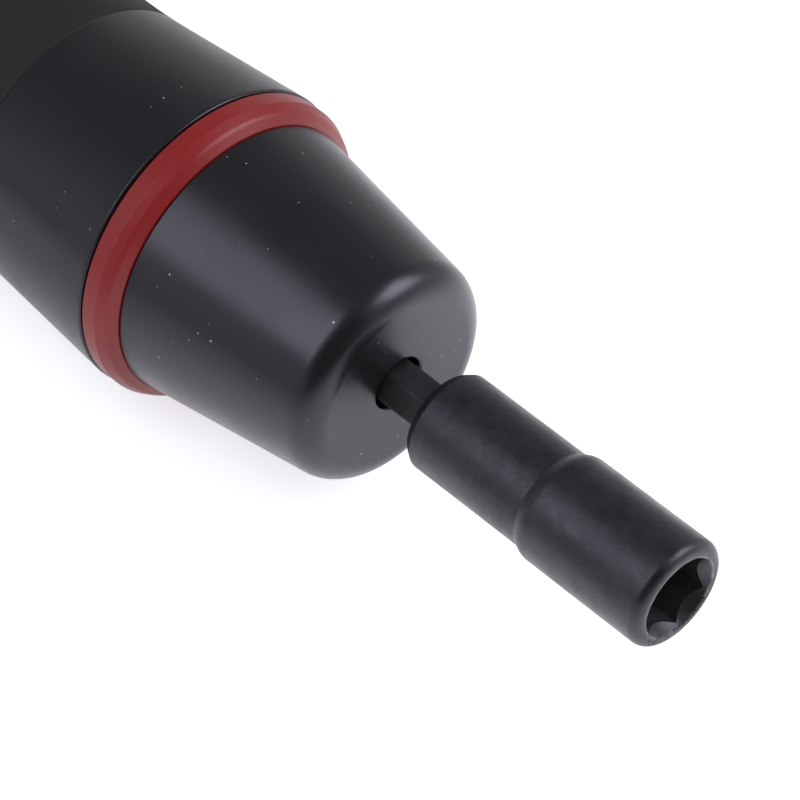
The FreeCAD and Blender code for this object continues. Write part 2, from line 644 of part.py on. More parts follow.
def knob_screw():
    """Socket-head screw that holds the knob on the adjusting screw."""
    head_back = CAP_RECESS_FLOOR - KNOB_SCREW_HEAD_HEIGHT
    head = rod(KNOB_SCREW_HEAD_RADIUS, CAP_RECESS_FLOOR, head_back)
    shank_front = CAP_RECESS_FLOOR + KNOB_SCREW_LENGTH
    shank = rod(KNOB_SCREW_RADIUS, shank_front, CAP_RECESS_FLOOR)
    key = hexagon(KNOB_SCREW_KEY, head_back + KNOB_SCREW_KEY_DEPTH, head_back - CUT_MARGIN, 0)
    return head.fuse(shank).cut(key)


def knob_cap():
    """Dished disc that closes the recess in the knob's rear face."""
    return turned([
        (KNOB_BACK + CAP_THICKNESS, 0),
        (KNOB_BACK + CAP_THICKNESS, CAP_RADIUS),
        (KNOB_BACK, CAP_RADIUS, EDGE_ROUNDING),
        (KNOB_BACK, CAP_RADIUS - CAP_DISH_MARGIN),
        (KNOB_BACK + CAP_DISH_DEPTH, CAP_RADIUS - CAP_DISH_MARGIN - CAP_DISH_DEPTH),
        (KNOB_BACK + CAP_DISH_DEPTH, 0),
    ])


PIECES = [
    nut_setter, nut_setter_magnet, nose_cap, front_bush, front_thrust_washer, colour_ring,
    housing_tube, handle_shell, grip_sleeve, spindle, bit_snap_ring, bit_magnet,
    clutch_disc, disc_clip, clutch_balls, pressure_plate, main_spring, spring_seat,
    thrust_ball, adjusting_screw, scale_barrel, knob_seal_ring, adjusting_knob,
    knob_screw, knob_cap,
]

os.makedirs("parts", exist_ok=True)
shapes = {piece.__name__: piece() for piece in PIECES}
box = Part.makeCompound(list(shapes.values())).optimalBoundingBox(False, False)
bottom_centre = Vector(box.Center.x, box.Center.y, box.ZMin)
for name, shape in shapes.items():
    shape.translate(bottom_centre * -1)
    shape.exportStep("parts/" + name + ".step")
    print(name, shape.isValid(), len(shape.Solids), round(shape.Volume, 1))
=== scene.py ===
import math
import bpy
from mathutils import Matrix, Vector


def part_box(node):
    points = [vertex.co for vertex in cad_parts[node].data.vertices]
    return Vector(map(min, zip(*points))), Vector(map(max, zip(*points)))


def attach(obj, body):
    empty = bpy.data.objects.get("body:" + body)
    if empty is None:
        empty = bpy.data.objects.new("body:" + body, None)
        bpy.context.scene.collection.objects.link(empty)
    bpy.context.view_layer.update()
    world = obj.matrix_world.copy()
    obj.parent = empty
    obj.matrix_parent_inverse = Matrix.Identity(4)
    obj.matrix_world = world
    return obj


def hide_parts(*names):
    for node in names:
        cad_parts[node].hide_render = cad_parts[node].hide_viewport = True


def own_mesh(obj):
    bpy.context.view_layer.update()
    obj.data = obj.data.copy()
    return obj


bl_info = {
    "name": "Torque Screwdriver Surfaces",
    "version": (1, 0, 0),
    "blender": (4, 5, 0),
    "location": "3D View > Sidebar > Torque Screwdriver",
    "description": "Surfaces, finishes and studio of an adjustable torque screwdriver with a nut setter",
    "category": "Add Mesh",
}

import bmesh
import bpy
import numpy as np
from bpy.props import FloatProperty, FloatVectorProperty, IntProperty, PointerProperty
from mathutils import Matrix, Vector

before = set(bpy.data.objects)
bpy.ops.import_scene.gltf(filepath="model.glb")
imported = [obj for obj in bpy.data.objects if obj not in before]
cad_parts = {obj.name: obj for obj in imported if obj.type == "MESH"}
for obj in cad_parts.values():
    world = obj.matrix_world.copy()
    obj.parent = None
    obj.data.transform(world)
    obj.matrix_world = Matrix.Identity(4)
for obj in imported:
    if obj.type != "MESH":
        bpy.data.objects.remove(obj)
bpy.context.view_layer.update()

MM = 0.001
TURN = 2 * math.pi

# Clearance around a piece that sits in another
FIT = 0.03 * MM

# Handle: depths and heights from the ring's radius, and distances along the axis
WAIST_DEPTH = 2.4 * MM
SWELL_HEIGHT = 1.2 * MM
TAIL_DEPTH = 1.9 * MM
TAIL_TO_SWELL = 15.0 * MM
SWELL_TO_WAIST = 24.0 * MM
SLEEVE_THICKNESS = 1.9 * MM
SLEEVE_FLUTE_RADIUS = 9.0 * MM
SLEEVE_FLUTE_DEPTH = 1.3 * MM

# Barrel and knob: heights above the barrel, and lengths along the axis
FLANGE_HEIGHT = 1.8 * MM
FLANGE_LENGTH = 2.5 * MM
KNOB_EDGE_HEIGHT = 0.8 * MM
KNOB_SKIRT_HEIGHT = 2.3 * MM
KNOB_GRIP_HEIGHT = 4.3 * MM
KNOB_BEVEL_LENGTH = 4.0 * MM
KNOB_GRIP_LENGTH = 17.0 * MM
KNOB_FLUTE_RADIUS = 2.2 * MM
KNOB_FLUTE_DEPTH = 0.9 * MM

# Depth of the printed marks' roots below the surface that carries them
PRINT_ROOT = 0.12 * MM


def node_front(node):
    """Station of the node's end nearest the nut setter's mouth."""
    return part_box(node)[1].x


def node_back(node):
    """Station of the node's rear end."""
    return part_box(node)[0].x


def node_radius(node):
    """Half the width of a node that is round about the tool's axis."""
    low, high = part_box(node)
    return (high.y - low.y) / 2


def axis_height():
    """Height of the tool's axis above the surface that it lies on."""
    low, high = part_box("nose_cap")
    return (low.z + high.z) / 2


# Surfaces around the axis

EDGE = 0.08 * MM
EDGE_STEPS = 4


def carried_profile(corners, closed, segments):
    """Carries a profile of (station, radius, rounding, steps) corners around the axis.

    Each corner is the point where two straight runs meet, and a tangent arc of the given
    rounding joins them. The arc's points are its centre plus the rounding times a unit
    vector that turns evenly from one tangent point to the other. A station or radius may
    be an array with one value per angle, so the profile can change on its way around. A
    corner with a rounding of zero is a single point of a curve.
    """
    places = np.stack([
        np.stack([np.broadcast_to(corner[0], segments), np.broadcast_to(corner[1], segments)], -1)
        for corner in corners
    ])
    rows = []
    last = len(corners) - 1
    for index, corner in enumerate(corners):
        here = places[index]
        if not closed and index in (0, last):
            rows.append(here[None])
            continue
        rounding = corner[2] if len(corner) > 2 else EDGE
        if not rounding:
            rows.append(here[None])
            continue
        steps = corner[3] if len(corner) > 3 else EDGE_STEPS
        back = places[index - 1] - here
        ahead = places[(index + 1) % len(corners)] - here
        back_length = np.linalg.norm(back, axis=-1, keepdims=True)
        ahead_length = np.linalg.norm(ahead, axis=-1, keepdims=True)
        back = back / back_length
        ahead = ahead / ahead_length
        half = np.arccos(np.clip((back * ahead).sum(-1, keepdims=True), -1, 1)) / 2
        reach = np.minimum(rounding / np.tan(half), 0.9 * np.minimum(back_length, ahead_length))
        radius = reach * np.tan(half)
        inward = back + ahead
        inward = inward / np.linalg.norm(inward, axis=-1, keepdims=True)
        centre = here + inward * radius / np.sin(half)
        start = (here + back * reach - centre) / radius
        end = (here + ahead * reach - centre) / radius
        sweep = math.pi - 2 * half
        share = np.linspace(0, 1, steps + 1)[:, None, None]
        turned = (np.sin((1 - share) * sweep) * start + np.sin(share * sweep) * end) / np.sin(sweep)
        rows.append(centre + radius * turned)
    rows = np.concatenate(rows)
    return rows[..., 0], rows[..., 1]


def hexagon_radius(across_flats, corner_turn, segments, rounding=0.12 * MM):
    """Distance from the axis to a hexagon with rounded corners, for each angle.

    On a flat it is the apothem over the cosine of the angle from the flat's middle. Near
    a corner it is the far crossing of the ray with a circle of the rounding's radius.
    """
    apothem = across_flats / 2
    angle = np.arange(segments) / segments * TURN - corner_turn
    from_corner = (angle + math.radians(30)) % math.radians(60) - math.radians(30)
    from_middle = math.radians(30) - np.abs(from_corner)
    centre = (apothem - rounding) / math.cos(math.radians(30))
    tangent = math.atan((apothem - rounding) * math.tan(math.radians(30)) / apothem)
    flat = apothem / np.cos(from_middle)
    under_root = np.maximum(rounding**2 - (centre * np.sin(from_corner)) ** 2, 0)
    arc = centre * np.cos(from_corner) + np.sqrt(under_root)
    return np.where(from_middle > tangent, arc, flat)


def flute_radius(count, flute, centre_distance, segments):
    """Distance from the axis to the nearest of a ring of round flutes, for each angle.

    A ray at an angle from a flute's middle meets the flute's circle at the distance of its
    centre times the cosine, less the root of its radius squared minus the offset squared.
    Between the flutes, where the ray misses the circle, it is the distance of their centres.
    """
    angle = np.arange(segments) / segments * TURN - TURN / 4
    pitch = TURN / count
    from_middle = (angle + pitch / 2) % pitch - pitch / 2
    offset = centre_distance * np.sin(from_middle)
    under_root = np.maximum(flute**2 - offset**2, 0)
    near = centre_distance * np.cos(from_middle) - np.sqrt(under_root)
    return np.where(np.abs(offset) < flute, near, centre_distance)


def soft_minimum(first, second, softness):
    """Smaller of two arrays, blended over a softness where they are nearly equal."""
    mix = np.clip(0.5 + 0.5 * (second - first) / softness, 0, 1)
    return second * (1 - mix) + first * mix - softness * mix * (1 - mix)


def surface_mesh(name, stations, radii, closed):
    """Mesh of a grid around the axis, from rows of stations and radii.

    A point lies at its station along X, and at its radius times the cosine and sine of its
    angle in Y and Z. Rows at radius zero become one pole. The faces are turned outwards,
    which is where the volume from the divergence theorem is positive.
    """
    rows, segments = radii.shape
    angle = np.arange(segments) / segments * TURN
    points = np.stack([stations, radii * np.cos(angle), radii * np.sin(angle) + axis_height()], -1)
    number = np.arange(rows * segments).reshape(rows, segments)
    if not closed:
        number[[0, -1]] = number[[0, -1], :1]
    after = np.roll(number, -1, 0)
    if not closed:
        number, after = number[:-1], after[:-1]
    faces = np.stack([number, np.roll(number, -1, 1), np.roll(after, -1, 1), after], -1).reshape(-1, 4)
    flat = points.reshape(-1, 3)
    a, b, c, d = (flat[faces[:, corner]] for corner in range(4))
    centre = flat.mean(0)
    volume = (np.cross(a - centre, b - centre) * (c - centre)).sum()
    volume += (np.cross(a - centre, c - centre) * (d - centre)).sum()
    if volume < 0:
        faces = faces[:, ::-1]
    used, numbers = np.unique(faces, return_inverse=True)
    numbers = numbers.reshape(faces.shape)
    first_pole = numbers[:, 0] == numbers[:, 1]
    second_pole = numbers[:, 2] == numbers[:, 3]
    quads = numbers[~first_pole & ~second_pole]
    triangles = np.concatenate([numbers[first_pole][:, 1:], numbers[second_pole][:, :3]])
    mesh = bpy.data.meshes.new(name)
    mesh.from_pydata(flat[used].tolist(), [], quads.tolist() + triangles.tolist())
    mesh.shade_smooth()
    mesh.update()
    return mesh


def coil_mesh(name, first, last, coils, mean_radius, wire_radius, steps=960, sides=28):
    """Round wire wound around the axis between two stations, with its ends ground flat.

    The wire's centre line advances evenly with the angle around the axis. A point of its
    section lies at the mean radius plus the wire's radius times the cosine of its own
    angle, and at the station plus the wire's radius times its sine, held between the two
    flat ends.
    """
    pitch = (last - first) / coils
    reach = 0.9 * wire_radius
    centre = np.linspace(first - reach, last + reach, steps)[:, None]
    turn = TURN * (centre - first) / pitch + TURN / 4
    section = np.linspace(0, TURN, sides, endpoint=False)[None, :]
    station = np.clip(centre + wire_radius * np.sin(section), first, last)
    radius = mean_radius + wire_radius * np.cos(section)
    points = np.stack([station, radius * np.cos(turn), radius * np.sin(turn) + axis_height()], axis=-1)
    ends = points[[0, -1]].mean(axis=1)
    number = np.arange(steps * sides).reshape(steps, sides)
    beside = np.roll(number, -1, axis=1)
    quads = np.stack([number[:-1], number[1:], beside[1:], beside[:-1]], axis=-1).reshape(-1, 4)
    start, finish = number.size, number.size + 1
    first_cap = np.stack([np.full(sides, start), number[0], beside[0]], axis=-1)
    last_cap = np.stack([np.full(sides, finish), beside[-1], number[-1]], axis=-1)
    mesh = bpy.data.meshes.new(name)
    corners = np.concatenate([points.reshape(-1, 3), ends])
    mesh.from_pydata(corners.tolist(), [], quads.tolist() + first_cap.tolist() + last_cap.tolist())
    mesh.shade_smooth()
    return mesh


def add_piece(name, mesh, body, finish, stands_for=()):
    """Puts a mesh in the scene as a piece that rides on a body and stands for CAD nodes."""
    piece = bpy.data.objects.new(name, mesh)
    bpy.context.scene.collection.objects.link(piece)
    piece.data.materials.append(bpy.data.materials[finish])
    shading = piece.modifiers.new("Even shading", "WEIGHTED_NORMAL")
    shading.weight = 100
    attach(piece, body)
    if stands_for:
        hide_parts(*stands_for)
    return piece


def add_turned_piece(name, corners, body, finish, stands_for, closed=True, segments=256):
    """Piece made by carrying one profile around the axis."""
    stations, radii = carried_profile(corners, closed, segments)
    mesh = surface_mesh(name, stations, radii, closed)
    return add_piece(name, mesh, body, finish, stands_for)


# Materials


class Nodes:
    """Short calls that add shader nodes to a tree and join them."""

    def __init__(self, tree):
        self.nodes = tree.nodes
        self.links = tree.links

    def node(self, kind, inputs=None, **settings):
        """Adds a node, with its settings and its input values or links."""
        node = self.nodes.new("ShaderNode" + kind)
        for key, value in settings.items():
            setattr(node, key, value)
        for key, value in (inputs or {}).items():
            if isinstance(value, bpy.types.NodeSocket):
                self.links.new(value, node.inputs[key])
            else:
                node.inputs[key].default_value = value
        return node

    def math(self, operation, first, second=0.0):
        """Result of a Math node."""
        return self.node("Math", {0: first, 1: second}, operation=operation).outputs[0]

    def times(self, first, second):
        """Product of two values."""
        return self.math("MULTIPLY", first, second)

    def below(self, first, second):
        """One where the first value is less than the second, and zero elsewhere."""
        return self.math("LESS_THAN", first, second)

    def spread(self, value, low, high, new_low, new_high, curve="LINEAR"):
        """Maps a value from one range to another, and clamps it there."""
        inputs = {"Value": value, "From Min": low, "From Max": high, "To Min": new_low, "To Max": new_high}
        return self.node("MapRange", inputs, clamp=True, interpolation_type=curve).outputs[0]


class Finish(Nodes):
    """A node material on one Principled shader, with its patterns on Object coordinates."""

    def __init__(self, name, colour, roughness, metallic=0.0, specular=0.5):
        self.material = bpy.data.materials.new(name)
        self.material.use_nodes = True
        super().__init__(self.material.node_tree)
        self.shader = self.nodes["Principled BSDF"]
        self.set("Base Color", (*colour, 1))
        self.set("Roughness", roughness)
        self.set("Metallic", metallic)
        self.set("Specular IOR Level", specular)
        self.place = self.node("TexCoord").outputs["Object"]

    def set(self, socket, value):
        """Links or sets a socket of the shader."""
        if isinstance(value, bpy.types.NodeSocket):
            self.links.new(value, self.shader.inputs[socket])
        else:
            self.shader.inputs[socket].default_value = value

    def noise(self, scale, detail=3.0, place=None, roughness=0.5):
        """Noise value at a scale in cells per metre."""
        inputs = {"Vector": place or self.place, "Scale": scale, "Detail": detail, "Roughness": roughness}
        return self.node("TexNoise", inputs).outputs["Fac"]

    def rings(self, along_axis, across_axis):
        """Noise with cells per metre along and across the axis, as fine turning marks."""
        scale = (along_axis, across_axis, across_axis)
        return self.noise(1.0, 3, self.node("Mapping", {"Vector": self.place, "Scale": scale}).outputs[0])

    def vary(self, noise, low, high):
        """Value that goes from low to high over the middle of a noise's range."""
        return self.spread(noise, 0.3, 0.7, low, high)

    def mix_colour(self, share, first, second):
        """Mix of two colours, each a value or a link."""
        first, second = (
            part if isinstance(part, bpy.types.NodeSocket) else (*part, 1) for part in (first, second)
        )
        return self.node("Mix", {0: share, 6: first, 7: second}, data_type="RGBA").outputs[2]

    def bump(self, height, distance, strength=1.0, below=None):
        """Normal of a bump whose height is given in metres by the distance."""
        inputs = {"Height": height, "Distance": distance, "Strength": strength}
        if below:
            inputs["Normal"] = below
        return self.node("Bump", inputs).outputs[0]


def specks(finish, scale, size, share):
    """Mask of sparse dots: cells whose distance from their point is small, in a share of the cells.

    The dots differ in size and in strength, and lie closer together in some places.
    """
    cells = finish.node("TexVoronoi", {"Vector": finish.place, "Scale": scale})
    chances = finish.node("SeparateColor", {"Color": cells.outputs["Color"]}).outputs
    dot = finish.below(cells.outputs["Distance"], finish.times(chances[1], size))
    crowding = finish.spread(finish.noise(60, 2), 0.42, 0.66, share * 0.4, share * 2.5)
    chosen = finish.times(dot, finish.below(chances[0], crowding))
    return finish.times(chosen, finish.spread(chances[2], 0, 1, 0.25, 1.0))


def grained_plastic(name, colour, roughness=0.30, grain=0.007 * MM, speck_share=0.14):
    """Satin moulded plastic with a fine grain, slight cloudiness and a few specks of dust."""
    finish = Finish(name, colour, roughness, specular=0.63)
    finish.set("Specular Tint", (0.84, 0.84, 1.0, 1.0))
    cloud = finish.noise(90, 4)
    finish.set("Roughness", finish.vary(cloud, roughness - 0.03, roughness + 0.04))
    lighter = tuple(min(1, part * 1.25 + 0.001) for part in colour)
    tone = finish.mix_colour(cloud, colour, lighter)
    dust = specks(finish, 900, 0.13, speck_share)
    finish.set("Base Color", finish.mix_colour(dust, tone, (0.55, 0.55, 0.56)))
    finish.set("Normal", finish.bump(finish.noise(2200, 3), grain))
    return finish.material


def matte_red(name, colour):
    """Matte red plastic with a soft cloudiness and a very fine grain."""
    finish = Finish(name, colour, 0.36, specular=0.5)
    cloud = finish.noise(120, 3)
    darker = tuple(part * 0.8 for part in colour)
    finish.set("Base Color", finish.mix_colour(cloud, darker, colour))
    finish.set("Roughness", finish.vary(cloud, 0.33, 0.42))
    finish.set("Normal", finish.bump(finish.noise(4200, 2), 0.008 * MM))
    return finish.material


def soft_rubber(name, colour):
    """Soft grip with a pebbled skin."""
    finish = Finish(name, colour, 0.62, specular=0.35)
    pebbles = finish.node("TexVoronoi", {"Vector": finish.place, "Scale": 1500}, feature="SMOOTH_F1")
    finish.set("Roughness", finish.vary(finish.noise(200, 3), 0.58, 0.7))
    finish.set("Normal", finish.bump(pebbles.outputs["Distance"], 0.05 * MM, 0.6))
    return finish.material


def axis_parts(finish):
    """Station along the axis, distance from it and height above it, at each point."""
    parts = finish.node("SeparateXYZ", {0: finish.place}).outputs
    level = finish.math("SUBTRACT", parts["Z"], axis_height())
    squares = finish.math("ADD", finish.math("POWER", parts["Y"], 2.0), finish.math("POWER", level, 2.0))
    return parts["X"], finish.math("SQRT", squares), level


def black_oxide(name, colour):
    """Turned steel with a blotchy black oxide skin, painted light on the shank and in the socket, and a
    rubbed mouth line with a painted highlight.
    """
    finish = Finish(name, colour, 0.4, specular=0.62)
    finish.set("Specular Tint", (0.84, 0.86, 1.0, 1.0))
    sizes = settings("torque_nut_setter")
    station, radius, level = axis_parts(finish)
    front = node_front("nut_setter") - sizes.worn_length
    head_back = front - sizes.head_length

    # Skin
    cloud = finish.noise(420, 5, roughness=0.6)
    blotch = finish.noise(150, 3)
    patches = finish.noise(520, 4, roughness=0.6)
    finish.set("Specular IOR Level", finish.spread(patches, 0.40, 0.64, 0.59, 0.70))
    lighter = tuple(part * 1.9 + 0.001 for part in colour)
    skin = finish.mix_colour(finish.vary(cloud, 0, 1), colour, lighter)

    # Shank: painted light, a paler colour close to the axis and behind the head, standing in for light that
    # the head and the nose cap keep off it
    shank = finish.times(finish.below(radius, 3.9 * MM), finish.below(station, head_back + 0.5 * MM))
    skin = finish.mix_colour(finish.times(shank, 0.8), skin, (0.020, 0.020, 0.020))

    # Socket: painted light, a paler colour inside the mouth and in front of its floor that lightens the
    # recess, stronger with depth
    in_front = finish.math("GREATER_THAN", station, front - 14 * MM)
    inside = finish.times(finish.below(radius, sizes.mouth_radius - 0.2 * MM), in_front)
    painted_socket_light = finish.times(inside, finish.spread(station, front - 2.5 * MM, front - 0.3 * MM, 0.9, 0.1))
    skin = finish.mix_colour(painted_socket_light, skin, (0.030, 0.028, 0.026))

    # Mouth: a rubbed line where countersink and front meet, partly wear and partly a painted highlight,
    # brighter on the upper side and fainter on the low side
    near_front = finish.spread(station, front - 0.6 * MM, front - 0.1 * MM, 0, 1)
    edge = finish.math("ABSOLUTE", finish.math("SUBTRACT", radius, sizes.mouth_radius))
    edge = finish.times(finish.spread(edge, 0.07 * MM, 0.18 * MM, 1, 0), near_front)
    edge = finish.times(edge, finish.spread(level, -4.5 * MM, -1.5 * MM, 0.3, 1))
    rubbed_line_and_highlight = finish.times(edge, finish.spread(finish.noise(700, 3), 0.42, 0.62, 0.25, 1))
    skin = finish.mix_colour(rubbed_line_and_highlight, skin, (0.32, 0.315, 0.31))

    # Pits in the front, most of them on the low side
    pits = finish.spread(finish.noise(2300, 3), 0.54, 0.60, 0, 1)
    low_side = finish.spread(level, 0.0, -4 * MM, 0.15, 1)
    pits = finish.times(finish.times(pits, near_front), low_side)
    finish.set("Base Color", finish.mix_colour(pits, skin, (0.002, 0.002, 0.002)))

    rough = finish.math("ADD", finish.vary(cloud, 0.34, 0.44), finish.spread(blotch, 0.35, 0.65, -0.03, 0.06))
    finish.set("Roughness", finish.math("ADD", rough, finish.times(pits, 0.3)))
    uneven = finish.bump(blotch, 0.16 * MM, 1.0, finish.bump(finish.rings(5200, 60), 0.006 * MM))
    uneven = finish.bump(finish.noise(1900, 3), 0.012 * MM, 1.0, uneven)
    finish.set("Normal", finish.bump(cloud, 0.06 * MM, 1.0, uneven))
    return finish.material


def turned_metal(name, colour, roughness):
    """Bare turned metal with fine rings around the axis."""
    finish = Finish(name, colour, roughness, metallic=1.0)
    finish.set("Roughness", finish.vary(finish.noise(140, 3), roughness - 0.04, roughness + 0.06))
    finish.set("Normal", finish.bump(finish.rings(6500, 50), 0.006 * MM))
    return finish.material


def smooth_metal(name, colour, roughness):
    """Ground or drawn metal with a faint cloudiness."""
    finish = Finish(name, colour, roughness, metallic=1.0)
    finish.set("Roughness", finish.vary(finish.noise(220, 3), roughness - 0.03, roughness + 0.08))
    finish.set("Normal", finish.bump(finish.noise(3000, 2), 0.003 * MM))
    return finish.material


def porous_bronze(name, colour):
    """Sintered bronze with open pores."""
    finish = Finish(name, colour, 0.45, metallic=1.0)
    pores = finish.noise(2600, 2)
    finish.set("Base Color", finish.mix_colour(pores, tuple(part * 0.5 for part in colour), colour))
    finish.set("Normal", finish.bump(pores, 0.02 * MM))
    return finish.material


# Settings


def length(label, text, default):
    """Length property in metres."""
    return FloatProperty(
        name=label, description=text, default=default, unit="LENGTH", subtype="DISTANCE", precision=5
    )


def colour(label, text, default):
    """Colour property."""
    return FloatVectorProperty(
        name=label, description=text, default=default, subtype="COLOR", size=3, min=0, max=1
    )


def angle(label, text, degrees):
    """Angle property, with its default in degrees."""
    return FloatProperty(name=label, description=text, default=math.radians(degrees), subtype="ANGLE")


def whole(label, text, default, lowest=24):
    """Whole number property."""
    return IntProperty(name=label, description=text, default=default, min=lowest)


class TorqueFinishSettings(bpy.types.PropertyGroup):
    """Colours of the tool's finishes."""

    nose_colour: colour("Nose cap", "Satin black of the nose cap", (0.008, 0.008, 0.009))
    shell_colour: colour("Handle shell", "Charcoal of the handle's hard shell", (0.006, 0.006, 0.007))
    ring_colour: colour("Ring", "Red of the ring", (0.265, 0.009, 0.011))
    sleeve_colour: colour("Sleeve", "Black of the soft sleeve", (0.014, 0.014, 0.015))
    oxide_colour: colour("Black oxide", "Skin of the nut setter and spindle", (0.007, 0.007, 0.008))
    steel_colour: colour("Steel", "Bare ground steel", (0.56, 0.56, 0.58))
    aluminium_colour: colour("Aluminium", "Satin aluminium of the scale barrel", (0.74, 0.75, 0.77))
    print_colour: colour("Print", "The scale's lines and numbers", (0.012, 0.012, 0.013))


class TorqueNutSetterSettings(bpy.types.PropertyGroup):
    """Sizes of the nut setter."""

    front_length: length("Front length", "Length of the wide front part", 20.3 * MM)
    step_length: length("Step length", "Length of the cone between the two diameters", 1.5 * MM)
    shoulder_rounding: length("Shoulder", "Rounding where the wide part meets the cone", 3.0 * MM)
    worn_length: length("Worn length", "How far the worn front lies behind a new one", 0.25 * MM)
    head_length: length("Head length", "Length of the round head", 41.5 * MM)
    rear_radius: length("Rear radius", "Radius of the slimmer rear part", 7.08 * MM)
    front_rounding: length("Front rounding", "Rounding of the front edge", 1.45 * MM)
    chamfer_length: length("Chamfer length", "Length of the chamfer on the rear edge", 1.25 * MM)
    chamfer_depth: length("Chamfer depth", "Depth of the chamfer on the rear edge", 0.8 * MM)
    across_flats: length("Across flats", "Width of the socket's hexagon", 9.525 * MM)
    mouth_radius: length("Mouth radius", "Radius of the countersink at the front", 5.88 * MM)
    mouth_angle: angle("Mouth angle", "Half angle of the countersink", 34)
    socket_turn: angle("Socket turn", "Angle of one of the socket's corners", 34)
    shank_flats: length("Shank flats", "Width of the hexagon shank", 6.35 * MM)
    shank_turn: angle("Shank turn", "Angle of one of the shank's corners", 3)
    segments: whole("Segments", "Segments around the axis", 720)


class TorqueBodySettings(bpy.types.PropertyGroup):
    """Sizes of the nose cap, ring, handle, knob and main spring."""

    nose_front_radius: length("Nose front", "Radius where cone and front face would meet", 15.74 * MM)
    nose_back_radius: length("Nose back", "Radius of the nose cap at the ring", 20.15 * MM)
    nose_rounding: length("Nose rounding", "Rounding of the nose cap's front edge", 4.2 * MM)
    nose_hole_radius: length("Nose hole", "Radius of the hole in the nose", 3.8 * MM)
    bevel_length: length("Bevel length", "Length of the ring's bevel, with its lip", 2.35 * MM)
    bevel_depth: length("Bevel depth", "Depth of the ring's bevel at its foot", 0.7 * MM)
    lip_length: length("Lip length", "Length of the ring's lip in front of the bevel", 0.9 * MM)
    lip_depth: length("Lip depth", "Depth of the ring's lip at its front", 2.0 * MM)
    shoulder_rounding: length("Shoulder rounding", "Rounding of the handle's front edge", 0.3 * MM)
    shoulder_step: length("Shoulder step", "Height of the handle's front above the ring", 0.2 * MM)
    groove_width: length("Groove width", "Width of the groove behind the ring", 0.25 * MM)
    groove_depth: length("Groove depth", "Depth of the groove below the ring", 0.6 * MM)
    waist_rounding: length("Waist rounding", "Radius of the handle's waist lengthwise", 110 * MM)
    swell_rounding: length("Swell rounding", "Radius of the handle's swell lengthwise", 45 * MM)
    flute_count: whole("Flutes", "Flutes around the sleeve", 8, 3)
    knob_flute_count: whole("Knob flutes", "Flutes around the knob", 18, 6)
    spring_wire: length("Spring wire", "Diameter of the main spring's wire", 2.4 * MM)
    spring_coils: FloatProperty(
        name="Spring coils", description="Turns of the main spring", default=7.5, min=1
    )
    spring_travel: length("Spring travel", "How much the knob shortens the main spring", 12 * MM)
    sleeve_segments: whole("Sleeve segments", "Segments around the sleeve", 640)
    knob_segments: whole("Knob segments", "Segments around the knob", 720)


class TorqueScaleSettings(bpy.types.PropertyGroup):
    """Sizes of the printed scale."""

    turns: whole("Turns", "Turns of the knob over the whole range", 4, 1)
    pitch: length("Pitch", "Travel of the knob for each turn", 3.0 * MM)
    number_height: length("Number height", "Height of the numbers on the barrel", 1.9 * MM)
    knob_number_height: length("Knob numbers", "Height of the numbers on the knob", 1.5 * MM)
    line_width: length("Line width", "Width of the lines on the barrel", 0.22 * MM)
    thickness: length("Print thickness", "Height of the print above its surface", 0.022 * MM)


class TorqueStageSettings(bpy.types.PropertyGroup):
    """Camera and floor."""

    view_azimuth: angle("View azimuth", "Direction of the view around the vertical", 46.41)
    view_elevation: angle("View elevation", "Height of the view above the horizon", 46.78)
    lens: FloatProperty(
        name="Lens", description="Focal length", default=176.6, unit="CAMERA", subtype="DISTANCE_CAMERA"
    )
    floor_colour: colour("Floor", "Pale floor and backdrop", (0.90, 0.90, 0.90))


def settings(group):
    """One of the groups of settings on the scene."""
    return getattr(bpy.context.scene, group)


# Operators


class TORQUE_OT_finishes(bpy.types.Operator):
    """Make every finish of the tool as a node material."""

    bl_idname = "torque.finishes"
    bl_label = "Make Finishes"

    def execute(self, context):
        tone = settings("torque_finish")
        grained_plastic("satin_black_plastic", tone.nose_colour)
        grained_plastic("satin_charcoal_plastic", tone.shell_colour, 0.30, 0.006 * MM, 0.08)
        matte_red("matte_red_plastic", tone.ring_colour)
        soft_rubber("soft_grip_rubber", tone.sleeve_colour)
        soft_rubber("seal_ring_rubber", tone.sleeve_colour)
        black_oxide("oxide_skinned_steel", tone.oxide_colour)
        turned_metal("turned_aluminium", tone.aluminium_colour, 0.34)
        turned_metal("turned_steel", tone.steel_colour, 0.28)
        smooth_metal("ground_steel", tone.steel_colour, 0.18)
        smooth_metal("oiled_spring_steel", tuple(part * 0.55 for part in tone.steel_colour), 0.32)
        smooth_metal("nickel_plate", (0.60, 0.58, 0.54), 0.2)
        porous_bronze("bearing_bronze", (0.60, 0.36, 0.16))
        grained_plastic("dark_print", tone.print_colour, 0.5)
        grained_plastic("pale_print", (0.75, 0.75, 0.74), 0.5)
        return {"FINISHED"}


NODE_FINISHES = {
    "oxide_skinned_steel": ("nut_setter", "spindle"),
    "nickel_plate": ("nut_setter_magnet", "bit_magnet"),
    "satin_black_plastic": ("nose_cap", "knob_cap"),
    "bearing_bronze": ("front_bush",),
    "ground_steel": ("front_thrust_washer", "clutch_balls", "thrust_ball", "knob_screw"),
    "matte_red_plastic": ("colour_ring",),
    "turned_steel": ("housing_tube", "clutch_disc", "pressure_plate", "spring_seat", "adjusting_screw"),
    "satin_charcoal_plastic": ("handle_shell", "adjusting_knob"),
    "soft_grip_rubber": ("grip_sleeve",),
    "oiled_spring_steel": ("bit_snap_ring", "disc_clip", "main_spring"),
    "turned_aluminium": ("scale_barrel",),
    "seal_ring_rubber": ("knob_seal_ring",),
}


class TORQUE_OT_dress_nodes(bpy.types.Operator):
    """Give each CAD node its finish."""

    bl_idname = "torque.dress_nodes"
    bl_label = "Dress CAD Nodes"

    def execute(self, context):
        for finish, nodes in NODE_FINISHES.items():
            for node in nodes:
                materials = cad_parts[node].data.materials
                materials.clear()
                materials.append(bpy.data.materials[finish])
        return {"FINISHED"}


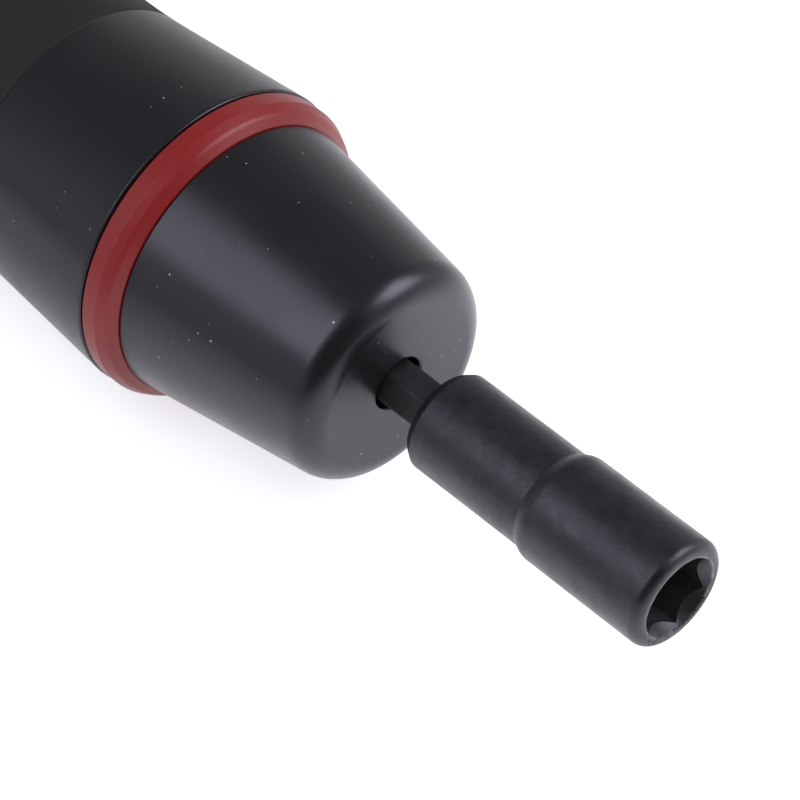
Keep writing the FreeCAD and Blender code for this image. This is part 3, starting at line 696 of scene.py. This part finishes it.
class TORQUE_OT_nose_cap(bpy.types.Operator):
    """Make the conical nose cap, with its bore."""

    bl_idname = "torque.nose_cap"
    bl_label = "Nose Cap"

    def execute(self, context):
        sizes = settings("torque_body")
        front = node_front("nose_cap")
        back = node_back("nose_cap")
        tube_front = node_front("housing_tube")
        tube = node_radius("housing_tube") + FIT
        bush_front = node_front("front_bush")
        bush_back = node_back("front_bush")
        cavity = node_radius("front_thrust_washer") + 2 * MM
        bush = node_radius("front_bush") + FIT
        add_turned_piece("nose_cap_surface", [
            (front, sizes.nose_hole_radius, 0.45 * MM, 10),
            (front, sizes.nose_front_radius, sizes.nose_rounding, 24),
            (back, sizes.nose_back_radius, 0.3 * MM, 6),
            (back, tube),
            (tube_front, tube),
            (tube_front, cavity),
            (bush_back, cavity),
            (bush_back, bush),
            (bush_front, bush),
            (bush_front, sizes.nose_hole_radius),
        ], "handle", "satin_black_plastic", ["nose_cap"])
        return {"FINISHED"}


class TORQUE_OT_ring(bpy.types.Operator):
    """Make the coloured ring between nose cap and handle."""

    bl_idname = "torque.ring"
    bl_label = "Coloured Ring"

    def execute(self, context):
        sizes = settings("torque_body")
        front = node_front("colour_ring")
        back = node_back("colour_ring")
        outer = node_radius("colour_ring")
        bore = node_radius("housing_tube") + FIT
        add_turned_piece("colour_ring_surface", [
            (front, bore),
            (front, outer - sizes.lip_depth),
            (front - sizes.lip_length, outer - sizes.bevel_depth, 1.5 * MM, 14),
            (front - sizes.bevel_length, outer, 0.2 * MM, 6),
            (back, outer, 0.15 * MM, 6),
            (back, bore),
        ], "handle", "matte_red_plastic", ["colour_ring"])
        return {"FINISHED"}


class TORQUE_OT_nut_setter(bpy.types.Operator):
    """Make the nut setter: stepped head, countersunk hexagon socket and grooved shank."""

    bl_idname = "torque.nut_setter"
    bl_label = "Nut Setter"

    def execute(self, context):
        sizes = settings("torque_nut_setter")
        count = sizes.segments
        front = node_front("nut_setter")
        end = node_back("nut_setter")
        outer = node_radius("nut_setter")
        head_back = front - sizes.head_length
        floor = node_front("nut_setter_magnet")
        pocket = node_radius("nut_setter_magnet") + FIT
        pocket_floor = node_back("nut_setter_magnet")
        socket = hexagon_radius(sizes.across_flats, sizes.socket_turn, count, 0.25 * MM)
        shank = hexagon_radius(sizes.shank_flats, sizes.shank_turn, count, 0.7 * MM)
        slope = math.tan(sizes.mouth_angle)
        worn = front - sizes.worn_length
        mouth = worn - (sizes.mouth_radius - socket) / slope
        step_front = front - sizes.front_length
        step_back = step_front - sizes.step_length
        groove_radius = 2.4 * MM
        groove_back = end + 9.0 * MM
        groove_front = groove_back + 3.4 * MM
        groove_flank = shank - groove_radius
        end_chamfer = 0.7 * MM
        edge = 0.12 * MM
        add_turned_piece("nut_setter_surface", [
            (pocket_floor, 0.0),
            (pocket_floor, pocket),
            (floor, pocket),
            (floor, socket, 0.15 * MM),
            (mouth, socket, 0.10 * MM, 5),
            (worn, sizes.mouth_radius, edge, 5),
            (worn, outer, sizes.front_rounding, 16),
            (step_front, outer, sizes.shoulder_rounding, 12),
            (step_back, sizes.rear_radius, 0.3 * MM, 6),
            (head_back + sizes.chamfer_length, sizes.rear_radius, 0.25 * MM, 6),
            (head_back, sizes.rear_radius - sizes.chamfer_depth, 0.3 * MM, 6),
            (head_back, shank, 0.2 * MM, 5),
            (groove_front + groove_flank, shank, edge),
            (groove_front, groove_radius, 0.3 * MM),
            (groove_back, groove_radius, 0.3 * MM),
            (groove_back - groove_flank, shank, edge),
            (end + end_chamfer, shank, edge),
            (end, shank - end_chamfer, edge),
            (end, 0.0),
        ], "nut_setter", "oxide_skinned_steel", ["nut_setter"], False, count)
        return {"FINISHED"}


def handle_line(stations):
    """Radius of the whole handle at the given stations.

    The profile is three straight runs, from the shoulder to the waist, to the swell and to
    the tail, joined by wide tangent arcs. The radius is read off that line by station.
    """
    sizes = settings("torque_body")
    back = node_back("handle_shell")
    ring = node_radius("colour_ring")
    swell = back + TAIL_TO_SWELL
    line_stations, line_radii = carried_profile([
        (node_front("handle_shell") - sizes.groove_width, ring + sizes.shoulder_step),
        (swell + SWELL_TO_WAIST, ring - WAIST_DEPTH, sizes.waist_rounding, 48),
        (swell, ring + SWELL_HEIGHT, sizes.swell_rounding, 48),
        (back, ring - TAIL_DEPTH),
    ], False, 1)
    return np.interp(-np.asarray(stations), -line_stations[:, 0], line_radii[:, 0])


def sleeve_seat():
    """Radius of the hard shell under the sleeve."""
    return node_radius("colour_ring") - WAIST_DEPTH - SLEEVE_THICKNESS


def barrel_radius():
    """Radius of the barrel behind its flange."""
    return node_radius("scale_barrel") - FLANGE_HEIGHT


def along(first, last, count, radius):
    """Single points of a profile at evenly spaced stations, with a radius for each."""
    stations = np.linspace(first, last, count)
    return [(station, radius(station), 0) for station in stations]


class TORQUE_OT_handle_shell(bpy.types.Operator):
    """Make the handle's hard shell: shoulder, waist, seat of the sleeve and tail."""

    bl_idname = "torque.handle_shell"
    bl_label = "Handle Shell"

    def execute(self, context):
        sizes = settings("torque_body")
        ring_back = node_front("handle_shell")
        front = ring_back - sizes.groove_width
        back = node_back("handle_shell")
        ring = node_radius("colour_ring")
        bore = node_radius("housing_tube") + FIT
        sleeve_front = node_front("grip_sleeve")
        sleeve_back = node_back("grip_sleeve")
        seat = sleeve_seat()
        neck = ring - sizes.groove_depth
        add_turned_piece("handle_shell_surface", [
            (ring_back, bore),
            (ring_back, neck),
            (front, neck),
            (front, ring + sizes.shoulder_step, sizes.shoulder_rounding, 8),
            *along(front - 1 * MM, sleeve_front + 0.3 * MM, 40, handle_line),
            (sleeve_front, handle_line(sleeve_front), 0.15 * MM),
            (sleeve_front, seat),
            (sleeve_back, seat),
            (sleeve_back, handle_line(sleeve_back), 0.15 * MM),
            (back, handle_line(back), 2.0 * MM, 12),
            (back, bore),
        ], "handle", "satin_charcoal_plastic", ["handle_shell"])
        return {"FINISHED"}


class TORQUE_OT_grip_sleeve(bpy.types.Operator):
    """Make the soft sleeve, with flutes that fade out where the handle narrows."""

    bl_idname = "torque.grip_sleeve"
    bl_label = "Grip Sleeve"

    def execute(self, context):
        sizes = settings("torque_body")
        count = sizes.sleeve_segments
        front = node_front("grip_sleeve")
        back = node_back("grip_sleeve")
        peak = handle_line(np.linspace(front, back, 400)).max()
        seat = sleeve_seat()
        flute_middle = peak + SLEEVE_FLUTE_RADIUS - SLEEVE_FLUTE_DEPTH
        flutes = flute_radius(sizes.flute_count, SLEEVE_FLUTE_RADIUS, flute_middle, count)

        def skin(station):
            return soft_minimum(np.full(count, handle_line(station)), flutes, 0.25 * MM)

        add_turned_piece("grip_sleeve_surface", [
            (front, seat),
            (front, skin(front), 0.35 * MM, 6),
            *along(front - 0.6 * MM, back + 0.6 * MM, 110, skin),
            (back, skin(back), 0.35 * MM, 6),
            (back, seat),
        ], "handle", "soft_grip_rubber", ["grip_sleeve"], segments=count)
        return {"FINISHED"}


class TORQUE_OT_scale_barrel(bpy.types.Operator):
    """Make the barrel that carries the scale: spigot, flange, seal groove and bores."""

    bl_idname = "torque.scale_barrel"
    bl_label = "Scale Barrel"

    def execute(self, context):
        front = node_front("scale_barrel")
        back = node_back("scale_barrel")
        flange = node_radius("scale_barrel")
        handle_back = node_back("handle_shell")
        radius = barrel_radius()
        flange_back = handle_back - FLANGE_LENGTH
        tube_wall = 3.0 * MM
        spigot = node_radius("housing_tube") - tube_wall - FIT
        groove_back = back + 2.5 * MM
        groove_front = groove_back + 2.0 * MM
        groove_floor = radius - 1.81 * MM
        thread = 6.04 * MM
        thread_back = front - 14.0 * MM
        bore = 11.0 * MM
        add_turned_piece("scale_barrel_surface", [
            (front, thread),
            (front, spigot),
            (handle_back, spigot),
            (handle_back, flange, 0.3 * MM),
            (flange_back, flange, 0.6 * MM, 6),
            (flange_back, radius),
            (groove_front, radius),
            (groove_front, groove_floor),
            (groove_back, groove_floor),
            (groove_back, radius),
            (back, radius, 0.5 * MM, 6),
            (back, bore),
            (thread_back, bore),
            (thread_back, thread),
        ], "handle", "turned_aluminium", ["scale_barrel"], segments=384)
        return {"FINISHED"}


class TORQUE_OT_knob(bpy.types.Operator):
    """Make the adjusting knob, with its bevelled skirt and fluted grip, and the cap behind it."""

    bl_idname = "torque.knob"
    bl_label = "Adjusting Knob"

    def execute(self, context):
        sizes = settings("torque_body")
        count = sizes.knob_segments
        front = node_front("adjusting_knob")
        back = node_back("adjusting_knob")
        radius = barrel_radius()
        grip = radius + KNOB_GRIP_HEIGHT
        skirt = radius + KNOB_SKIRT_HEIGHT
        edge = radius + KNOB_EDGE_HEIGHT
        bore = radius + 0.04 * MM
        grip_front = back + KNOB_GRIP_LENGTH
        floor = back + 8.0 * MM
        recess = node_radius("knob_cap") + FIT
        recess_floor = back + 3.8 * MM
        screw_flats = 8.03 * MM
        hole = hexagon_radius(screw_flats, 0, count)
        flute_middle = grip + KNOB_FLUTE_RADIUS - KNOB_FLUTE_DEPTH
        flutes = flute_radius(sizes.knob_flute_count, KNOB_FLUTE_RADIUS, flute_middle, count)
        fluted = soft_minimum(np.full(count, grip), flutes, 0.12 * MM)
        add_turned_piece("adjusting_knob_surface", [
            (front, bore),
            (front, edge, 0.15 * MM),
            (front - KNOB_BEVEL_LENGTH, skirt, 0.5 * MM, 8),
            (grip_front, skirt, 0.8 * MM, 8),
            (grip_front, fluted, 1.4 * MM, 12),
            (back, fluted, 1.4 * MM, 12),
            (back, recess, 0.2 * MM),
            (recess_floor, recess),
            (recess_floor, hole),
            (floor, hole),
            (floor, bore),
        ], "adjuster", "satin_charcoal_plastic", ["adjusting_knob"], segments=count)
        cap_front = node_front("knob_cap")
        cap = node_radius("knob_cap")
        dish = back + 0.25 * MM
        add_turned_piece("knob_cap_surface", [
            (cap_front, 0.0),
            (cap_front, cap),
            (back, cap, 0.4 * MM, 8),
            (back, cap - 1.2 * MM, 0.2 * MM),
            (dish, cap - 1.6 * MM, 0.2 * MM),
            (dish, 0.0),
        ], "adjuster", "satin_black_plastic", ["knob_cap"], False)
        return {"FINISHED"}


class TORQUE_OT_main_spring(bpy.types.Operator):
    """Make the main spring as a coil of round wire between its seats, with its ends ground flat."""

    bl_idname = "torque.main_spring"
    bl_label = "Main Spring"

    def execute(self, context):
        sizes = settings("torque_body")
        first, last = node_back("main_spring"), node_front("main_spring")
        wire = sizes.spring_wire / 2
        mean = node_radius("main_spring") - wire
        name = "main_spring_coil"
        mesh = coil_mesh(name, first, last, sizes.spring_coils, mean, wire)
        piece = add_piece(name, mesh, "handle", "oiled_spring_steel", ["main_spring"])
        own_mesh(piece)
        return {"FINISHED"}


def digit_shape(digit, height):
    """Points and faces of one digit as a thin plate about its own middle.

    The plate is one unit thick, and its points are (right, up, outwards).
    """
    curve = bpy.data.curves.new("digit", "FONT")
    curve.body = digit
    curve.size = height * 1.38
    curve.extrude = 0.5
    curve.resolution_u = 4
    curve.align_x = "CENTER"
    holder = bpy.data.objects.new("digit", curve)
    mesh = bpy.data.meshes.new_from_object(holder)
    points = np.empty(len(mesh.vertices) * 3)
    mesh.vertices.foreach_get("co", points)
    points = points.reshape(-1, 3)
    points[:, 1] -= (points[:, 1].min() + points[:, 1].max()) / 2
    faces = [list(polygon.vertices) for polygon in mesh.polygons]
    bpy.data.objects.remove(holder)
    bpy.data.curves.remove(curve)
    bpy.data.meshes.remove(mesh)
    return points, faces


def bar_shape(width, height, steps=6):
    """Points and faces of a flat bar, one unit thick, cut into steps along its width.

    Its section is a rectangle that is carried along the width, with both ends closed.
    """
    right = np.linspace(-width / 2, width / 2, steps + 1)
    section = np.array([(-height / 2, -0.5), (height / 2, -0.5), (height / 2, 0.5), (-height / 2, 0.5)])
    points = np.concatenate([
        np.column_stack([np.full(4, place), section]) for place in right
    ])
    number = np.arange(4 * (steps + 1)).reshape(steps + 1, 4)
    sides = np.stack([number[:-1], number[1:], np.roll(number, -1, 1)[1:], np.roll(number, -1, 1)[:-1]], -1)
    faces = sides.reshape(-1, 4).tolist() + [number[0].tolist(), number[-1, ::-1].tolist()]
    return points, faces


def print_mesh(name, marks, thickness, radius_at):
    """Thin marks wrapped around the axis.

    Each mark is a shape, its station and its angle. A point's angle is the mark's angle
    less its distance to the right over the radius, its station is the mark's less its
    distance upwards, and its radius follows the surface under it.
    """
    points = []
    faces = []
    first = 0
    for (flat, flat_faces), station, turn in marks:
        stations = station - flat[:, 1]
        radii = radius_at(stations)
        angles = turn - flat[:, 0] / radii
        radii = radii + (flat[:, 2] + 0.5) * thickness - PRINT_ROOT * (flat[:, 2] < 0)
        points.append(np.column_stack([
            stations, radii * np.cos(angles), radii * np.sin(angles) + axis_height(),
        ]))
        faces += [[corner + first for corner in face] for face in flat_faces]
        first += len(flat)
    mesh = bpy.data.meshes.new(name)
    mesh.from_pydata(np.concatenate(points).tolist(), [], faces)
    tidy = bmesh.new()
    tidy.from_mesh(mesh)
    bmesh.ops.remove_doubles(tidy, verts=tidy.verts, dist=0.002 * MM)
    bmesh.ops.recalc_face_normals(tidy, faces=tidy.faces)
    tidy.to_mesh(mesh)
    tidy.free()
    return mesh


class TORQUE_OT_scale_marks(bpy.types.Operator):
    """Print a line and a number for each turn on the barrel, and the parts of a turn on the knob."""

    bl_idname = "torque.scale_marks"
    bl_label = "Scale Marks"

    def execute(self, context):
        sizes = settings("torque_scale")
        top = TURN / 4
        start = node_front("adjusting_knob")
        self.print_barrel(sizes, start, top)
        self.print_knob(sizes, start, top)
        return {"FINISHED"}

    def print_barrel(self, sizes, start, top):
        """A line along the barrel, a long mark and a number for each turn, and short marks between."""
        barrel = barrel_radius()
        line = sizes.line_width
        long_mark = 3.6 * MM
        travel = sizes.turns * sizes.pitch
        marks = [(bar_shape(line, travel + line), start + travel / 2, top)]
        for turn in range(sizes.turns + 1):
            station = start + turn * sizes.pitch
            marks.append((bar_shape(long_mark, line), station, top))
            if turn < sizes.turns:
                marks.append((bar_shape(2.0 * MM, 0.16 * MM), station + sizes.pitch / 2, top))
            number = digit_shape(str(turn + 1), sizes.number_height)
            marks.append((number, station, top + long_mark / barrel))

        def barrel_at(stations):
            return np.full(len(stations), barrel)

        mesh = print_mesh("scale_lines", marks, sizes.thickness, barrel_at)
        add_piece("scale_lines", mesh, "handle", "dark_print")

    def print_knob(self, sizes, start, top):
        """Twenty marks around the knob's bevel, every second one long and every fourth one numbered."""
        edge = barrel_radius() + KNOB_EDGE_HEIGHT
        slope = (KNOB_SKIRT_HEIGHT - KNOB_EDGE_HEIGHT) / KNOB_BEVEL_LENGTH
        divisions = 20
        marks = []
        for division in range(divisions):
            turn = top - division * TURN / divisions
            height, below_edge = (0.7 * MM, 0.6 * MM) if division % 2 else (1.2 * MM, 0.85 * MM)
            marks.append((bar_shape(0.20 * MM, height, 1), start - below_edge, turn))
            if division % 4 == 0:
                number = digit_shape(str(division // 2), sizes.knob_number_height)
                marks.append((number, start - 2.45 * MM, turn))

        def bevel_at(stations):
            return edge + (start - stations) * slope

        mesh = print_mesh("knob_lines", marks, sizes.thickness, bevel_at)
        add_piece("knob_lines", mesh, "adjuster", "pale_print")


class TORQUE_OT_stage(bpy.types.Operator):
    """Make the floor, the studio light and the camera."""

    bl_idname = "torque.stage"
    bl_label = "Studio"

    def execute(self, context):
        stage = settings("torque_stage")
        self.make_camera(stage)
        self.make_floor(stage)
        self.make_world()
        self.make_lights()
        context.scene.view_settings.view_transform = "Standard"
        return {"FINISHED"}

    def make_camera(self, stage):
        """Camera that looks down at the nut setter, with the rest of the tool running out of view."""
        azimuth, elevation = stage.view_azimuth, stage.view_elevation
        right = Vector((math.cos(azimuth), math.sin(azimuth), 0))
        level = math.cos(elevation)
        back = Vector((math.sin(azimuth) * level, -math.cos(azimuth) * level, math.sin(elevation)))
        up = back.cross(right)
        tip = Vector((node_front("nut_setter"), 0, axis_height()))
        leftwards, upwards, distance = 33.99 * MM, 24.08 * MM, 474.14 * MM
        place = tip - right * leftwards + up * upwards + back * distance
        data = bpy.data.cameras.new("camera")
        data.lens = stage.lens
        data.sensor_width = 36
        data.clip_start = 0.01
        data.clip_end = 20
        camera = bpy.data.objects.new("camera", data)
        camera.matrix_world = Matrix.Translation(place) @ Matrix((right, up, back)).transposed().to_4x4()
        bpy.context.scene.collection.objects.link(camera)
        bpy.context.scene.camera = camera

    def make_floor(self, stage):
        """Pale floor that is white to the camera, apart from the tool's soft shadow, and that carries a
        painted glow and painted shade seen only in the tool's reflections.
        """
        mesh = bpy.data.meshes.new("floor")
        half = 3.0
        corners = [(-half, -half, 0), (half, -half, 0), (half, half, 0), (-half, half, 0)]
        mesh.from_pydata(corners, [], [(0, 1, 2, 3)])
        floor = bpy.data.objects.new("floor", mesh)
        bpy.context.scene.collection.objects.link(floor)

        # White to the camera
        finish = Finish("pale_floor", stage.floor_colour, 0.9, specular=0.1)
        rays = finish.node("LightPath").outputs
        seen = finish.times(rays["Is Camera Ray"], 0.62)

        # Painted reflection: a glow on the floor that only the tool's reflections show, bright close by and
        # fading far away
        middle = (-node_front("nose_cap") - 28 * MM, -35 * MM, 0)
        moved = finish.node("Mapping", {"Vector": finish.place, "Location": middle}).outputs[0]
        away = finish.node("VectorMath", {0: moved}, operation="LENGTH").outputs["Value"]
        mirrored = finish.times(rays["Is Glossy Ray"], finish.spread(away, 30 * MM, 140 * MM, 1.0, 0.05))
        # Painted shadow: the glow is weaker in a strip right beneath the tool
        across = finish.node("SeparateXYZ", {0: finish.place}).outputs["Y"]
        beneath = finish.math("ABSOLUTE", finish.math("SUBTRACT", across, 8 * MM))
        mirrored = finish.times(mirrored, finish.spread(beneath, 8 * MM, 22 * MM, 0.65, 1))
        # Painted shade in the tool's reflections: the floor's colour turns darker towards negative Y
        painted_reflection_shade = finish.times(rays["Is Glossy Ray"], finish.spread(across, -350 * MM, -60 * MM, 0.7, 0))

        finish.set("Base Color", finish.mix_colour(painted_reflection_shade, stage.floor_colour, (0, 0, 0)))
        finish.set("Emission Color", (0.94, 0.95, 1.0, 1))
        finish.set("Emission Strength", finish.math("ADD", seen, mirrored))
        mesh.materials.append(finish.material)

    def make_world(self):
        """Pale surroundings.

        They are white to the camera. In reflections they are brighter low down than
        overhead, with a dark side where the camera stands.
        """
        world = bpy.data.worlds.new("studio")
        bpy.context.scene.world = world
        world.use_nodes = True
        studio = Nodes(world.node_tree)
        direction = studio.node("TexCoord").outputs["Generated"]
        height = studio.node("SeparateXYZ", {0: direction}).outputs["Z"]
        dark_side = Vector((0.75, -0.5, 0.4)).normalized()
        facing = studio.node("VectorMath", {0: direction, 1: dark_side}, operation="DOT_PRODUCT")
        overhead = studio.spread(height, 0.05, 0.75, 0.62, 0.20, "SMOOTHSTEP")
        shade = studio.spread(facing.outputs["Value"], 0.55, 0.90, 1.0, 0.04, "SMOOTHSTEP")
        mirrored = studio.times(overhead, shade)
        rays = studio.node("LightPath").outputs
        light = studio.node("Mix", {0: rays["Is Glossy Ray"], 2: 0.52, 3: mirrored}).outputs[0]
        strength = studio.node("Mix", {0: rays["Is Camera Ray"], 2: light, 3: 1.0}).outputs[0]
        background = studio.nodes["Background"]
        background.inputs["Color"].default_value = (1, 1, 1, 1)
        studio.links.new(strength, background.inputs["Strength"])

    def make_lights(self):
        """A large soft box overhead and a smaller one beside the nose."""
        overhead, beside = (-0.20, -0.629, 0.751), (0.53, 0.58, 0.61)
        self.add_light("overhead_box", overhead, distance=0.46, width=0.21, height=0.36, radiance=2.7)
        self.add_light("side_box", beside, distance=0.70, width=0.38, height=0.38, radiance=5.5)

    def add_light(self, name, direction, distance, width, height, radiance):
        """Soft box that faces the nose of the tool.

        Its power is its radiance times pi times its area.
        """
        data = bpy.data.lights.new(name, "AREA")
        data.shape = "RECTANGLE"
        data.size = width
        data.size_y = height
        data.energy = radiance * math.pi * width * height
        data.color = (0.95, 0.95, 1.0)
        lamp = bpy.data.objects.new(name, data)
        lamp.visible_camera = False
        target = Vector((node_front("nose_cap"), 0, axis_height()))
        direction = Vector(direction).normalized()
        turn = direction.to_track_quat("Z", "Y").to_matrix().to_4x4()
        lamp.matrix_world = Matrix.Translation(target + direction * distance) @ turn
        bpy.context.scene.collection.objects.link(lamp)


class TORQUE_PT_panel(bpy.types.Panel):
    """Lists the steps that dress the tool."""

    bl_label = "Torque Screwdriver"
    bl_idname = "TORQUE_PT_panel"
    bl_space_type = "VIEW_3D"
    bl_region_type = "UI"
    bl_category = "Torque Screwdriver"

    def draw(self, context):
        for operator in OPERATORS:
            self.layout.operator(operator.bl_idname)


GROUPS = {
    "torque_finish": TorqueFinishSettings,
    "torque_nut_setter": TorqueNutSetterSettings,
    "torque_body": TorqueBodySettings,
    "torque_scale": TorqueScaleSettings,
    "torque_stage": TorqueStageSettings,
}
OPERATORS = (
    TORQUE_OT_stage,
    TORQUE_OT_finishes,
    TORQUE_OT_dress_nodes,
    TORQUE_OT_nose_cap,
    TORQUE_OT_ring,
    TORQUE_OT_nut_setter,
    TORQUE_OT_handle_shell,
    TORQUE_OT_grip_sleeve,
    TORQUE_OT_scale_barrel,
    TORQUE_OT_knob,
    TORQUE_OT_main_spring,
    TORQUE_OT_scale_marks,
)


def register():
    """Registers the settings, the operators and the panel."""
    for name, group in GROUPS.items():
        bpy.utils.register_class(group)
        setattr(bpy.types.Scene, name, PointerProperty(type=group))
    for operator in OPERATORS:
        bpy.utils.register_class(operator)
    bpy.utils.register_class(TORQUE_PT_panel)


def unregister():
    """Removes what register added."""
    bpy.utils.unregister_class(TORQUE_PT_panel)
    for operator in reversed(OPERATORS):
        bpy.utils.unregister_class(operator)
    for name, group in GROUPS.items():
        delattr(bpy.types.Scene, name)
        bpy.utils.unregister_class(group)


def main():
    """Dresses the tool."""
    register()
    bpy.ops.torque.stage()
    bpy.ops.torque.finishes()
    bpy.ops.torque.dress_nodes()
    bpy.ops.torque.nose_cap()
    bpy.ops.torque.ring()
    bpy.ops.torque.nut_setter()
    bpy.ops.torque.handle_shell()
    bpy.ops.torque.grip_sleeve()
    bpy.ops.torque.scale_barrel()
    bpy.ops.torque.knob()
    bpy.ops.torque.main_spring()
    bpy.ops.torque.scale_marks()


if __name__ == "__main__":
    main()
